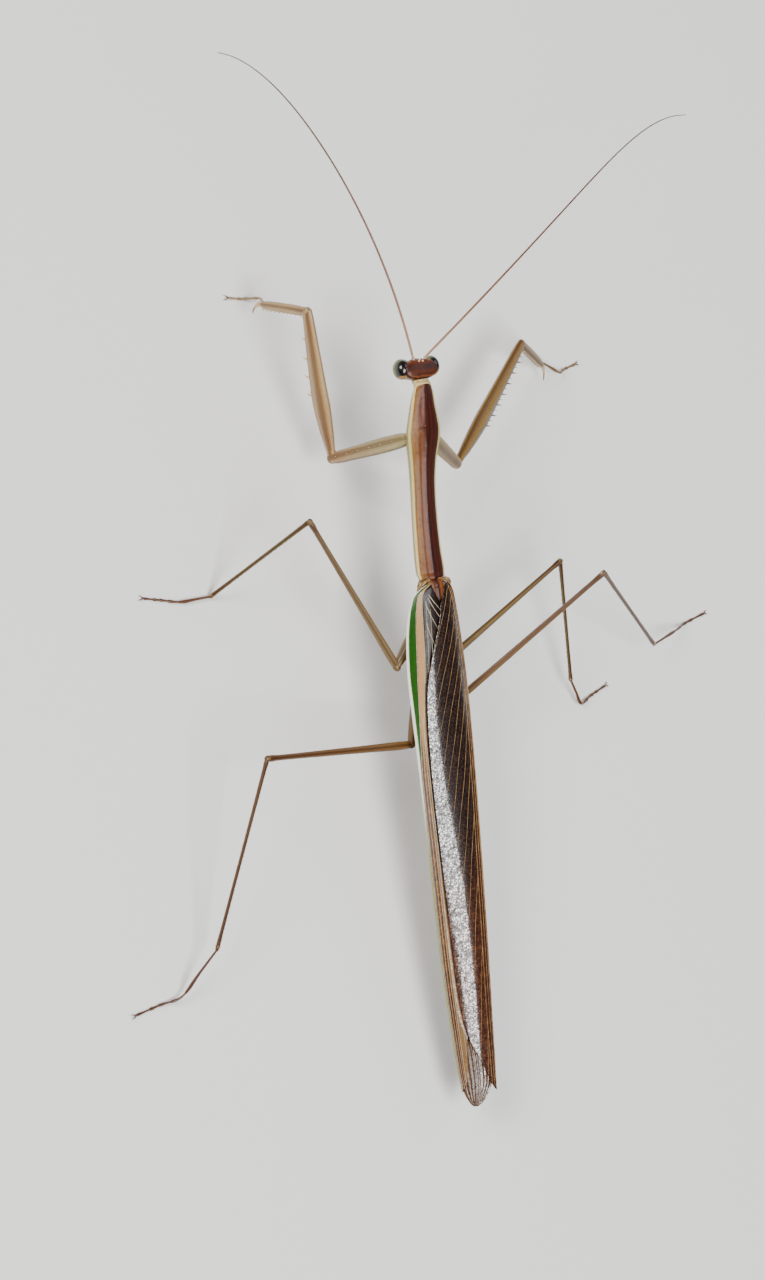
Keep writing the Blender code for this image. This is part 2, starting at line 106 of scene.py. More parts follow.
def addTube(shape, rings, along, slot=0, marks=None):
    # closed skin over a row of rings, with a pole at each end, always facing outwards
    points = shape["points"]
    start = len(points)
    count = len(rings[0])
    faces = []
    uvs = []
    for ring in rings:
        points.extend(ring)
    for i in range(len(rings) - 1):
        for k in range(count):
            a = start + i * count + k
            b = start + i * count + (k + 1) % count
            faces.append((a, b, b + count, a + count))
            low = k / count
            high = (k + 1) / count
            uvs.append(((low, along[i]), (high, along[i]), (high, along[i + 1]), (low, along[i + 1])))
    for row, turn in ((0, True), (len(rings) - 1, False)):
        pole = len(points)
        points.append(sum(rings[row], Vector()) / count)
        for k in range(count):
            a = start + row * count + k
            b = start + row * count + (k + 1) % count
            low = (k / count, along[row])
            high = ((k + 1) / count, along[row])
            middle = ((k + 0.5) / count, along[row])
            faces.append((b, a, pole) if turn else (a, b, pole))
            uvs.append((high, low, middle) if turn else (low, high, middle))
    volume = 0.0
    for face in faces:
        for k in range(1, len(face) - 1):
            a = points[face[0]]
            volume += a.dot(points[face[k]].cross(points[face[k + 1]]))
    if volume < 0:
        faces = [tuple(reversed(face)) for face in faces]
        uvs = [tuple(reversed(corner)) for corner in uvs]
    shape["faces"].extend(faces)
    shape["uvs"].extend(uvs)
    shape["slots"].extend([slot] * len(faces))
    if marks is None:
        shape["marks"].extend([(0.0, 0.0, 0.0)] * (len(rings) * count + 2))
    else:
        for row in marks:
            shape["marks"].extend(row)
        for row in (marks[0], marks[-1]):
            shape["marks"].append(tuple(sum(m[k] for m in row) / count for k in range(3)))


def evenly(steps):
    return [i / steps for i in range(steps + 1)]


def loft(places, ringAt):
    # a shape over rings; ringAt gives the points of the ring at t, and the marks on them
    shape = newShape()
    pairs = [ringAt(t) for t in places]
    addTube(shape, [ring for ring, row in pairs], places, 0, [row for ring, row in pairs])
    return shape


def addBall(shape, centre, radii, axes, sides=24, rows=16, slot=0):
    rings = []
    along = []
    for i in range(1, rows):
        a = pi * i / rows
        ring = []
        for k in range(sides):
            b = 2 * pi * k / sides
            place = (sin(a) * cos(b), sin(a) * sin(b), cos(a))
            ring.append(centre + sum((axes[j] * place[j] * radii[j] for j in range(3)), Vector()) * mm)
        rings.append(ring)
        along.append(i / rows)
    addTube(shape, rings, along, slot)
    # the poles are set on the ball's own surface
    shape["points"][-2] = centre + axes[2] * radii[2] * mm
    shape["points"][-1] = centre - axes[2] * radii[2] * mm


def newMesh(name, points, edges, faces, layers):
    # layers: name of a layer, and one number or one vector for every point
    mesh = bpy.data.meshes.new(name)
    mesh.from_pydata([tuple(p) for p in points], edges, faces)
    for label, rows in layers.items():
        if isinstance(rows[0], float):
            mesh.attributes.new(label, "FLOAT", "POINT").data.foreach_set("value", rows)
        else:
            layer = mesh.attributes.new(label, "FLOAT_VECTOR", "POINT")
            layer.data.foreach_set("vector", [v for row in rows for v in row])
    return mesh


def addObject(name, data):
    item = bpy.data.objects.new(name, data)
    bpy.context.scene.collection.objects.link(item)
    return item


def settle(item, slot, *nodes):
    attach(item, "root")
    if nodes:
        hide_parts(*nodes)


def addPiece(shape, name, materials, slot, *nodes):
    layers = {"spot": shape["marks"]} if any(map(any, shape["marks"])) else {}
    mesh = newMesh(name, shape["points"], [], shape["faces"], layers)
    uvs = [v for face in shape["uvs"] for corner in face for v in corner]
    mesh.uv_layers.new(name="UVMap").data.foreach_set("uv", uvs)
    mesh.polygons.foreach_set("material_index", shape["slots"])
    mesh.update()
    mesh.shade_smooth()
    for material in materials:
        mesh.materials.append(material)
    settle(addObject(name, mesh), slot, *nodes)


# a limb is a tube along a path, with its own frame: across, and towards the flexor side
def newLimb(path, stations, across=(0, 1, 0), section=None):
    # stations: t, half width, half depth, and how far the middle is pushed to the flexor side, if it is
    rows = [(*row, 0.0)[:4] for row in stations]
    return {"path": path, "stations": rows, "across": Vector(across), "section": section}


def limbPlace(limb, t):
    path = limb["path"]
    steps = [(b - a).length for a, b in zip(path, path[1:])]
    total = sum(steps)

    def pointAt(share):
        left = min(max(share, 0.0), 1.0) * total
        for a, b, step in zip(path, path[1:], steps):
            if left <= step or b is path[-1]:
                return a.lerp(b, left / step)
            left -= step

    place = pointAt(t)
    ahead = (pointAt(min(t + 0.02, 1.0)) - pointAt(max(t - 0.02, 0.0))).normalized()
    side = (limb["across"] - ahead * limb["across"].dot(ahead)).normalized()
    return place, ahead, side, side.cross(ahead)


def limbPoint(limb, t, angle, lift=0.0):
    place, ahead, side, flexor = limbPlace(limb, t)
    wide, deep, push = smoothRead(limb["stations"], t)
    more = limb["section"](angle, t) if limb["section"] else 1.0
    c = cos(angle)
    n = sin(angle)
    point = place + (side * c * (wide * more + lift) + flexor * (n * (deep * more + lift) + push)) * mm
    out = (side * c / wide + flexor * n / deep).normalized()
    return point, out, ahead


def addLimb(shape, limb, vStart, sides=20, count=40, slot=0):
    # rounded at both ends, and never below the floor
    rings = []
    along = []
    for i in range(count + 1):
        t = i / count
        rings.append([limbPoint(limb, t, 2 * pi * k / sides)[0] for k in range(sides)])
        along.append(vStart + t)
    for t, sign in ((0.0, -1), (1.0, 1)):
        place, ahead, side, flexor = limbPlace(limb, t)
        base = rings[0] if sign < 0 else rings[-1]
        middle = sum(base, Vector()) / sides
        reach = min(smoothRead(limb["stations"], t)[:2])
        for angle in (25, 50, 72):
            a = radians(angle)
            ring = [middle + (p - middle) * cos(a) + ahead * sign * reach * sin(a) * mm for p in base]
            if sign < 0:
                rings.insert(0, ring)
                along.insert(0, vStart)
            else:
                rings.append(ring)
                along.append(vStart + 1)
    for ring in rings:
        for point in ring:
            point.z = max(point.z, 0.0)
    addTube(shape, rings, along, slot)


def addTubeLimb(shape, path, stations, across, v, sides, count, slot=0, section=None):
    limb = newLimb(path, stations, across, section)
    addLimb(shape, limb, v, sides, count, slot)
    return limb


# node helpers: a node's tree is found from what is plugged into it
def feed(item, values):
    # sockets are linked to the inputs, plain values are set on them
    for key, value in values.items():
        if isinstance(value, bpy.types.NodeSocket):
            item.id_data.links.new(value, item.inputs[key])
        else:
            item.inputs[key].default_value = value
    return item


def put(tree, kind, values=None, **settings):
    item = tree.nodes.new(kind)
    for key, value in settings.items():
        setattr(item, key, value)
    return feed(item, values or {})


def wire(tree, kind, values=None, which=0, **settings):
    return put(tree, kind, values, **settings).outputs[which]


def treeOf(values):
    return next(v.id_data for v in values if isinstance(v, bpy.types.NodeSocket))


def work(operation, *values):
    return wire(treeOf(values), "ShaderNodeMath", dict(enumerate(values)), operation=operation)


def times(first, *more):
    for value in more:
        first = work("MULTIPLY", first, value)
    return first


def plus(first, *more):
    for value in more:
        first = work("ADD", first, value)
    return first


def minus(a, b):
    return work("SUBTRACT", a, b)


def joined(*values):
    return wire(treeOf(values), "ShaderNodeCombineXYZ", dict(enumerate(values)))


def split(vector):
    return list(put(vector.id_data, "ShaderNodeSeparateXYZ", {0: vector}).outputs)


def vectorWork(operation, a, b=None, which=0):
    values = {0: a} if b is None else {0: a, 1: b}
    return wire(a.id_data, "ShaderNodeVectorMath", values, which, operation=operation)


def noise(where, scale, detail, roughness=0.5):
    values = {"Vector": where, "Scale": scale, "Detail": detail, "Roughness": roughness}
    return wire(where.id_data, "ShaderNodeTexNoise", values)


def spread(value, low, high, first=0.0, last=1.0, kind="LINEAR"):
    # from first at low to last at high
    values = {0: value, 1: low, 2: high, 3: first, 4: last}
    return wire(value.id_data, "ShaderNodeMapRange", values, interpolation_type=kind)


def between(value, low, high, soft):
    # 1 between low and high, 0 outside, with soft edges
    up = spread(value, low - soft, low + soft, 0.0, 1.0, "SMOOTHSTEP")
    return times(up, spread(value, high - soft, high + soft, 1.0, 0.0, "SMOOTHSTEP"))


def shade(tint):
    # a paint-box colour, 0 to 255, as the shader wants it, a little deeper to hold its own under the lights
    plain = [((v / 255 + 0.055) / 1.055) ** 2.4 if v > 10 else v / 255 / 12.92 for v in tint]
    level = 0.3 * plain[0] + 0.6 * plain[1] + 0.1 * plain[2]
    return tuple(max(level + (v - level) * 1.08, 0.001) ** 1.32 * 0.82 for v in plain) + (1.0,)


def ramp(value, stops):
    item = put(value.id_data, "ShaderNodeValToRGB", {0: value})
    band = item.color_ramp
    while len(band.elements) < len(stops):
        band.elements.new(0.5)
    for element, (spot, tint) in zip(band.elements, stops):
        element.position = spot
        element.color = shade(tint)
    return item.outputs[0]


def blend(mask, a, b):
    a, b = [shade(v) if isinstance(v, tuple) else v for v in (a, b)]
    return wire(mask.id_data, "ShaderNodeMix", {0: mask, 6: a, 7: b}, 2, data_type="RGBA")


def paintOver(body, layers):
    # each layer: its tint, its strength, and the masks that bound it
    for tint, amount, *masks in layers:
        body = blend(times(*masks, amount), body, tint)
    return body


def newMaterial(name, roughness, coat=0.0, coatRoughness=0.1, gloss=0.5, coatIndex=1.5):
    material = bpy.data.materials.new(name)
    material.use_nodes = True
    feed(material.node_tree.nodes["Principled BSDF"], {
        "Roughness": roughness, "Coat Weight": coat, "Coat Roughness": coatRoughness,
        "Specular IOR Level": gloss, "Coat IOR": coatIndex})
    return material, material.node_tree


def finishMaterial(material, body, height=None, strength=0.5, depth=0.00002, **more):
    tree = material.node_tree
    values = {"Base Color": shade(body) if isinstance(body, tuple) else body, **more}
    if height:
        bumps = {"Strength": strength, "Distance": depth, "Height": height}
        values["Normal"] = wire(tree, "ShaderNodeBump", bumps)
    feed(tree.nodes["Principled BSDF"], values)
    return material


def objectPlace(tree):
    return put(tree, "ShaderNodeTexCoord").outputs["Object"]


def readSpot(tree):
    # the place on the piece that its maker wrote into the mesh
    return split(put(tree, "ShaderNodeAttribute", attribute_name="spot").outputs["Vector"])


def uvParts(tree):
    return split(wire(tree, "ShaderNodeUVMap", uv_map="UVMap"))


def newGroup(name, kind, inputs, outputs):
    # a node group whose sockets are given as pairs of a name and a kind
    tree = bpy.data.node_groups.new(name, kind)
    for way, sockets in (("INPUT", inputs), ("OUTPUT", outputs)):
        for label, sort in sockets:
            tree.interface.new_socket(label, in_out=way, socket_type="NodeSocket" + sort)
    return tree, put(tree, "NodeGroupInput").outputs, put(tree, "NodeGroupOutput")


def makeGrainGroup():
    # fine grains and pits of an insect's shell: a height, and masks of the darker pits and blotches
    tree, start, end = newGroup(
        "shell grain", "ShaderNodeTree", (("Vector", "Vector"), ("Grain Scale", "Float"), ("Blotch Scale", "Float")),
        (("Height", "Float"), ("Pits", "Float"), ("Blotches", "Float")))
    where, grainScale, blotchScale = start[0], start[1], start[2]
    grains = wire(tree, "ShaderNodeTexVoronoi", {"Vector": where, "Scale": grainScale, "Smoothness": 0.6},
                  "Distance", feature="SMOOTH_F1")
    height = plus(minus(1.0, grains), times(noise(where, grainScale, 4.0), 0.6))
    blotches = spread(noise(where, blotchScale, 6.0), 0.35, 0.65)
    feed(end, {0: height, 1: spread(grains, 0.35, 0.75), 2: blotches})
    return tree


grainGroup = makeGrainGroup()


def addGrain(tree, grainScale, blotchScale):
    values = {0: objectPlace(tree), 1: grainScale, 2: blotchScale}
    return put(tree, "ShaderNodeGroup", values, node_tree=grainGroup).outputs


# geometry node trees
def makeSpineTree():
    # a curved thorn on every point, along the point's own aim
    tree, start, end = newGroup(
        "thorns", "GeometryNodeTree", (("Geometry", "Geometry"), ("Sides", "Int"), ("Rings", "Int"),
                                       ("Blunt", "Float"), ("Bend", "Float"), ("Material", "Material")),
        (("Geometry", "Geometry"),))
    cone = wire(tree, "GeometryNodeMeshCone", {
        "Vertices": start["Sides"], "Side Segments": start["Rings"], "Radius Top": start["Blunt"],
        "Radius Bottom": 1.0, "Depth": 1.0})
    height = split(wire(tree, "GeometryNodeInputPosition"))[2]
    curl = joined(times(height, height, start["Bend"]))
    bent = wire(tree, "GeometryNodeSetPosition", {"Geometry": cone, "Offset": curl})
    aim, hook, size = [wire(tree, "GeometryNodeInputNamedAttribute", {0: label}, data_type="FLOAT_VECTOR")
                       for label in ("aim", "hook", "size")]
    turn = "FunctionNodeAlignRotationToVector"
    upright = wire(tree, turn, {"Vector": aim}, axis="Z")
    turned = wire(tree, turn, {"Rotation": upright, "Vector": hook}, axis="X", pivot_axis="Z")
    thorns = wire(tree, "GeometryNodeInstanceOnPoints", {
        "Points": start["Geometry"], "Instance": bent, "Rotation": turned, "Scale": size})
    smooth = wire(tree, "GeometryNodeSetShadeSmooth", {0: wire(tree, "GeometryNodeRealizeInstances", {0: thorns})})
    feed(end, {0: wire(tree, "GeometryNodeSetMaterial", {"Geometry": smooth, "Material": start["Material"]})})
    return tree


def makeVeinTree():
    # a thin tube along every edge, as thick as its points say
    tree, start, end = newGroup(
        "veins", "GeometryNodeTree", (("Geometry", "Geometry"), ("Sides", "Int"), ("Thickness", "Float"),
                                      ("Material", "Material")), (("Geometry", "Geometry"),))
    lines = wire(tree, "GeometryNodeMeshToCurve", {0: start["Geometry"]})
    girth = wire(tree, "GeometryNodeInputNamedAttribute", {0: "girth"}, data_type="FLOAT")
    profile = wire(tree, "GeometryNodeCurvePrimitiveCircle", {
        "Resolution": start["Sides"], "Radius": start["Thickness"]})
    tubes = wire(tree, "GeometryNodeCurveToMesh", {
        "Curve": lines, "Profile Curve": profile, "Scale": girth, "Fill Caps": True})
    real = wire(tree, "GeometryNodeRealizeInstances", {0: wire(tree, "GeometryNodeSetShadeSmooth", {0: tubes})})
    feed(end, {0: wire(tree, "GeometryNodeSetMaterial", {"Geometry": real, "Material": start["Material"]})})
    return tree


def runTree(name, mesh, tree, inputs):
    # works a node tree on a mesh and keeps the result as a plain mesh
    item = addObject(name, mesh)
    modifier = item.modifiers.new("nodes", "NODES")
    modifier.node_group = tree
    for socket in tree.interface.items_tree:
        if socket.item_type == "SOCKET" and socket.in_out == "INPUT" and socket.name in inputs:
            modifier[socket.identifier] = inputs[socket.name]
    item.update_tag()
    bpy.context.view_layer.update()
    ready = item.evaluated_get(bpy.context.evaluated_depsgraph_get())
    result = bpy.data.meshes.new_from_object(ready)
    result.name = name
    item.modifiers.clear()
    bpy.data.objects.remove(item)
    return addObject(name, result)


spineTree = makeSpineTree()
veinTree = makeVeinTree()


def addSpines(name, spines, material, slot, sides, rings, blunt, bend=0.0):
    # spines: (place, aim, hook, length, half thickness) with lengths in millimetres
    spots, aims, hooks, lengths, girths = zip(*spines)
    sizes = [(thick * mm, thick * mm, length * mm) for length, thick in zip(lengths, girths)]
    mesh = newMesh(name, spots, [], [], {"aim": aims, "hook": hooks, "size": sizes})
    inputs = {"Sides": sides, "Rings": rings, "Blunt": blunt, "Bend": bend, "Material": material}
    settle(runTree(name, mesh, spineTree, inputs), slot)


def shellMaterial(name, dark, light, roughness, coat, grain=9000.0, blotch=900.0, depth=0.00002):
    # plain two-tone shell with grain, for the pieces without a pattern of their own
    material, tree = newMaterial(name, roughness, coat, 0.18, 0.35)
    out = addGrain(tree, grain, blotch)
    body = blend(out["Blotches"], dark, light)
    body = paintOver(body, [(tuple(v * 0.55 for v in dark), 0.35, out["Pits"])])
    return finishMaterial(material, body, out["Height"], 0.5, depth)


creamShell = shellMaterial("cream shell", (196, 170, 122), (226, 208, 166), 0.42, 0.25)
thornDark = shellMaterial("dark thorn tips", (52, 26, 14), (88, 48, 24), 0.3, 0.5)
thornPale = shellMaterial("pale thorns", (206, 178, 128), (232, 212, 170), 0.34, 0.4)
hairMaterial = shellMaterial("short hairs", (150, 118, 78), (190, 160, 114), 0.5, 0.1)


# head
headPose = {"centre": bodyPoint(0.0, -1.9, 0.05), "tilt": radians(3)}
headLeft = Vector((1, 0, 0))
headBack = Vector((0, cos(headPose["tilt"]), sin(headPose["tilt"])))
headUp = Vector((0, -sin(headPose["tilt"]), cos(headPose["tilt"])))


def headPoint(x, back, up):
    return headPose["centre"] + (headLeft * x + headBack * back + headUp * up) * mm


capsule = {
    # up, half width, half depth, shift back
    "rows": [(-2.55, 0.78, 0.62, 0.1), (-2.3, 1.02, 0.76, 0.06), (-1.8, 1.32, 0.86, 0.0), (-1.0, 1.84, 1.08, 0.0),
             (-0.3, 2.12, 1.26, 0.0), (0.35, 2.2, 1.28, 0.05), (0.75, 2.26, 1.26, 0.1), (1.00, 2.24, 1.16, 0.14),
             (1.18, 2.08, 0.98, 0.14), (1.3, 1.74, 0.72, 0.12), (1.36, 1.1, 0.38, 0.08)],
    "square": 2.5,
    "sides": 128,
    "rings": 90,
    "crowding": 1.25,       # the rings lie closer together towards the crown
}


def capsuleRelief(x, back, up):
    out = 0.0
    away = abs(x)
    if back > 0:
        out += 0.07 * bump(up, 1.22 - 0.08 * (away / 2.0) ** 2, 0.06)       # ridge across the back of the crown
        out -= 0.06 * bump(up, 1.04 - 0.08 * (away / 2.0) ** 2, 0.1)       # hollow behind it
        out -= 0.05 * bump(away, 0.85, 0.1) * bump(up, 0.1, 0.8)           # seams down the back of the head
    else:
        out -= 0.06 * bump(away, 0.0, 0.05) * bump(up, 1.0, 0.4)
        out -= 0.1 * bump(away, 0.72, 0.22) * bump(up, 0.15, 0.35)         # hollows under the feelers
        out += 0.12 * bump(away, 0.0, 0.55) * bump(up, -0.15, 0.42)         # shield between the feelers and the lip
        out -= 0.08 * bump(up, -0.72, 0.07) * bump(away, 0.0, 0.9)
        out += 0.08 * bump(away, 0.0, 0.6) * bump(up, -1.15, 0.35)
        out -= 0.07 * bump(up, -1.62, 0.06) * bump(away, 0.0, 0.9)
        out -= 0.07 * bump(away, 1.0, 0.08) * bump(up, -0.9, 0.7)           # cheek seams
    out -= 0.05 * bump(away, 0.6, 0.06) * bump(up, 1.0, 0.35)              # four seams over the crown
    out -= 0.04 * bump(away, 1.15, 0.06) * bump(up, 0.9, 0.35)
    out += 0.06 * bump(away, 0.88, 0.14) * bump(up, 1.0, 0.3)
    out += 0.03 * sin(x * 5.1 + 1.0) * sin(back * 4.3 + x * 2.0) * bump(up, 1.2, 0.3)
    return out


def capsuleRing(t):
    low, high = capsule["rows"][0][0], capsule["rows"][-1][0]
    up = low + (high - low) * (1 - (1 - t) ** capsule["crowding"])
    wide, deep, shift = smoothRead(capsule["rows"], up)
    row = []
    for k in range(capsule["sides"]):
        a = 2 * pi * k / capsule["sides"] + pi / 2
        c, n = rounded(a, capsule["square"])
        more = capsuleRelief(wide * c, deep * n, up)
        row.append((wide * c + more * cos(a), shift + deep * n + more * sin(a), up))
    return [headPoint(*spot) for spot in row], row


def headMaterial():
    material, tree = newMaterial("head shell", 0.42, 0.12, 0.16, 0.28)
    x, back, up = readSpot(tree)
    away = work("ABSOLUTE", x)
    out = addGrain(tree, 11000.0, 1100.0)
    body = ramp(spread(up, -2.5, 1.2), [
        (0.0, (176, 140, 92)), (0.25, (158, 108, 66)), (0.45, (136, 80, 46)),
        (0.66, (104, 54, 32)), (0.84, (98, 50, 28)), (1.0, (92, 46, 26))])
    behind = between(back, 0.45, 3.0, 0.25)
    rise = plus(up, times(x, x, 0.025))
    # distance from a spot right of the crown's middle, for the painted shade there
    crownShadeReach = vectorWork("LENGTH", joined(plus(x, 0.75), times(back, 1.6)), None, "Value")
    body = paintOver(body, [
        ((54, 24, 14), 0.45, out["Blotches"]),
        ((158, 100, 54), 0.7, between(rise, 1.2, 1.275, 0.025), behind),                       # ridge
        ((150, 92, 66), 0.5, between(back, -1.6, -0.55, 0.25), between(up, 0.7, 3.0, 0.2)),     # brow
        ((124, 70, 34), 0.45, between(back, 0.3, 0.75, 0.2), between(up, 1.15, 3.0, 0.05)),    # before the ridge
        ((44, 20, 14), 0.55, between(crownShadeReach, -1.0, 0.5, 0.4)),                                    # painted shade on the crown, right of its middle
        ((70, 30, 18), 0.8, between(rise, 0.5, 1.16, 0.04), behind),                           # hollow at the back
        ((205, 182, 138), 0.8, between(up, -1.3, 0.36, 0.1), behind),
        # pale shield, dark seams, and a pale border beside the eyes
        ((164, 108, 64), 0.45, between(up, -0.62, 0.26, 0.12), between(away, -1.0, 0.66, 0.14),
         between(back, -3.0, -0.35, 0.2)),
        ((58, 20, 10), 0.5, between(away, 0.55, 0.64, 0.03)),
        ((196, 150, 100), 0.35, between(away, 1.36, 1.62, 0.07), between(up, -1.6, 0.9, 0.3))])
    return finishMaterial(material, body, out["Height"], 0.35, 0.000012)


def eyeMaterial(name, sign):
    # dark within, grey-green above and outside, with a cream and red-brown border behind
    material, tree = newMaterial(name, 0.24, 0.45, 0.05)
    x, back, up = readSpot(tree)
    stripes = noise(objectPlace(tree), 1500.0, 1.0)
    edge = vectorWork("DOT_PRODUCT", joined(x, back, up), (0.26 * sign, 0.24, 0.93), "Value")
    facing = plus(edge, times(minus(stripes, 0.5), 0.1))
    body = ramp(spread(facing, -0.2, 1.0), [
        (0.0, (176, 150, 106)), (0.14, (170, 160, 122)), (0.36, (140, 150, 116)), (0.52, (98, 112, 84)),
        (0.66, (58, 56, 42)), (0.78, (32, 20, 14)), (1.0, (26, 12, 8))])
    body = paintOver(body, [
        ((112, 124, 100), 0.6, between(back, -2.0, -0.72, 0.16)),
        ((196, 156, 104), 0.85, between(back, 0.7, 0.93, 0.06)),
        ((120, 60, 34), 0.35, between(back, 0.93, 2.0, 0.04))])
    facets = wire(tree, "ShaderNodeTexVoronoi", {"Vector": objectPlace(tree), "Scale": 26000.0, "Randomness": 0.25},
                  "Distance", feature="F1")
    return finishMaterial(material, body, minus(1.0, facets), 0.12, 0.000006)


eyes = {
    "offset": (2.14, -0.24, -0.12),
    "radii": (1.0, 1.25, 1.2),
    "sides": 72,
    "rings": 54,
    "rim": -0.5,           # where along the eye its rim lies, from its middle to the head
}


def eyeShape(sign):
    # a tall egg, a little fuller above than below; marks hold the place on the unit ball
    def ringAt(t):
        a = 0.02 + (pi - 0.04) * t
        row = []
        ring = []
        for k in range(eyes["sides"]):
            b = 2 * pi * k / eyes["sides"] + pi
            unit = (sin(a) * cos(b), sin(a) * sin(b), cos(a))
            wide = 1.0 + 0.05 * unit[2]
            stretch = (eyes["radii"][0] * wide, eyes["radii"][1] * wide, eyes["radii"][2])
            x, back, up = [v * r for v, r in zip(unit, stretch)]
            ring.append(headPoint(sign * eyes["offset"][0] + x, eyes["offset"][1] + back, eyes["offset"][2] + up))
            row.append(unit)
        return ring, row

    return loft(evenly(eyes["rings"]), ringAt)


def eyeRim(sign):
    # raised border where the eye meets the cheek
    shape = newShape()
    sides, steps = 10, 96
    offset, radii, tilt = eyes["offset"], eyes["radii"], eyes["rim"]
    reach = sqrt(1 - tilt ** 2)
    rings = []
    for t in evenly(steps):
        a = 2 * pi * t
        middle = (sign * (offset[0] + tilt * radii[0]), offset[1] + cos(a) * reach * radii[1],
                  offset[2] + sin(a) * reach * radii[2])
        ring = []
        for k in range(sides):
            b = 2 * pi * k / sides
            out = 0.075 * cos(b)
            ring.append(headPoint(middle[0] + sign * 0.1 * sin(b), middle[1] + cos(a) * out,
                                  middle[2] + sin(a) * out))
        rings.append(ring)
    addTube(shape, rings, evenly(steps))
    return shape


headShape = loft(evenly(capsule["rings"]), capsuleRing)
addPiece(headShape, "head_capsule", [headMaterial()], "head_shell", "head")
for side, sign in bothSides:
    addPiece(eyeShape(sign), "eye_ball_" + side, [eyeMaterial("glossy eye " + side, sign)], "eye", "eye_" + side)
rimMaterial = shellMaterial("eye rim shell", (150, 92, 50), (206, 164, 112), 0.36, 0.4, 12000.0, 1400.0)
for side, sign in bothSides:
    addPiece(eyeRim(sign), "eye_rim_" + side, [rimMaterial], "head_shell")

# ocelli: three clear domes in a triangle between the feelers, on low cushions
ocelliMaterial = finishMaterial(newMaterial("clear simple eyes", 0.08, 1.0, 0.02)[0], (226, 190, 166))
ocelliShape = newShape()
headAxes = (headLeft, headBack, headUp)
for x, back, up, wide in ((0.0, -0.98, 0.98, 0.15), (0.27, -0.8, 1.2, 0.13), (-0.27, -0.8, 1.2, 0.13)):
    addBall(ocelliShape, headPoint(x, back, up), (wide, wide, wide * 0.9), headAxes, 20, 12)
    cushion = (wide * 1.5, wide * 1.3, wide * 1.05)
    addBall(ocelliShape, headPoint(x, back + 0.06, up - 0.05), cushion, headAxes, 20, 12, 1)
addPiece(ocelliShape, "simple_eyes", [ocelliMaterial, rimMaterial], "head_shell")

mouth = {
    # a path in head places, then stations
    "lips": (
        (((0, -0.98, -1.45), (0, -0.92, -2.25)), ((0.0, 0.86, 0.3), (0.5, 0.92, 0.34), (1.0, 0.74, 0.28))),
        (((0, -0.86, -2.2), (0, -0.66, -3.35)),
         ((0.0, 0.68, 0.26), (0.5, 0.7, 0.32), (0.85, 0.52, 0.28), (1.0, 0.28, 0.2)))),
    "jaw": (((1.0, -0.3, -1.65), (0.98, -0.42, -2.4), (0.55, -0.52, -3.1), (0.16, -0.5, -3.45)),
            [(0, 0.42, 0.44), (0.4, 0.44, 0.42), (0.8, 0.26, 0.3), (1, 0.1, 0.12)]),
    "lobe": (((0.46, 0.42, -2.1), (0.42, 0.3, -3.0), (0.26, 0.05, -3.6)),
             [(0, 0.36, 0.3), (0.6, 0.26, 0.24), (1, 0.12, 0.12)]),
    # the joints of the two palps, held forwards, and how thick they are
    "palps": (
        (((0.86, 0.05, -2.35), (0.98, -0.02, -2.8), (0.92, -0.3, -3.3), (0.78, -0.46, -3.7), (0.56, -0.5, -4.05)),
         0.15),
        (((0.34, 0.2, -3.2), (0.52, -0.1, -3.6), (0.5, -0.45, -3.92), (0.36, -0.78, -4.05)), 0.11)),
}


def mouthShape():
    # lip shields, jaws and the jointed palps
    shape = newShape()
    for path, widths in mouth["lips"]:
        addTubeLimb(shape, [headPoint(*spot) for spot in path], widths, (1, 0, 0), 0, 28, 18)
    for sign in (1, -1):
        def mirrored(path):
            return [headPoint(sign * x, back, up) for x, back, up in path]

        addTubeLimb(shape, mirrored(mouth["jaw"][0]), mouth["jaw"][1], (0, 1, 0), 1, 20, 22, 1)
        addTubeLimb(shape, mirrored(mouth["lobe"][0]), mouth["lobe"][1], (0, 1, 0), 2, 16, 16)
        for path, thick in mouth["palps"]:
            spots = mirrored(path)
            widths = [(t, thick * share, thick * share) for t, share in ((0, 0.72), (0.75, 1), (1, 0.8))]
            for i, pair in enumerate(zip(spots, spots[1:])):
                addTubeLimb(shape, pair, widths, (0.3, 0.2, 1), 3 + i, 12, 8)
    return shape


jawMaterial = shellMaterial("jaw shell", (120, 58, 28), (170, 100, 54), 0.32, 0.5, 10000.0, 1200.0)
mouthMaterial = shellMaterial("lip and palp shell", (170, 124, 76), (206, 172, 120), 0.4, 0.3, 10000.0, 1200.0)
addPiece(mouthShape(), "mouthparts", [mouthMaterial, jawMaterial], "head_shell")
print("head built")


# feelers
feelers = {
    # length, heading, turn, curl near the tip, rise, fall
    "left": (47.5, -74, 30, 35, 16, -10),
    "right": (52.0, -145, 0, -40, 8, -12),
    "root": (0.79, -1.15, 0.85),
    "steps": 26,
    "joints": 132,
}


def feelerPath(side, sign):
    length, around, turn, curl, rise, fall = feelers[side]
    spot = headPoint(sign * feelers["root"][0], feelers["root"][1], feelers["root"][2])
    path = [spot]
    for i in range(feelers["steps"]):
        t = (i + 0.5) / feelers["steps"]
        spot = spot + heading(around + turn * t + curl * t ** 8, rise + fall * t) * length / feelers["steps"] * mm
        path.append(spot)
    return path


def smoothPath(path, count):
    rows = [(i, p.x, p.y, p.z) for i, p in enumerate(path)]
    return [Vector(smoothRead(rows, (len(path) - 1) * i / count)) for i in range(count + 1)]


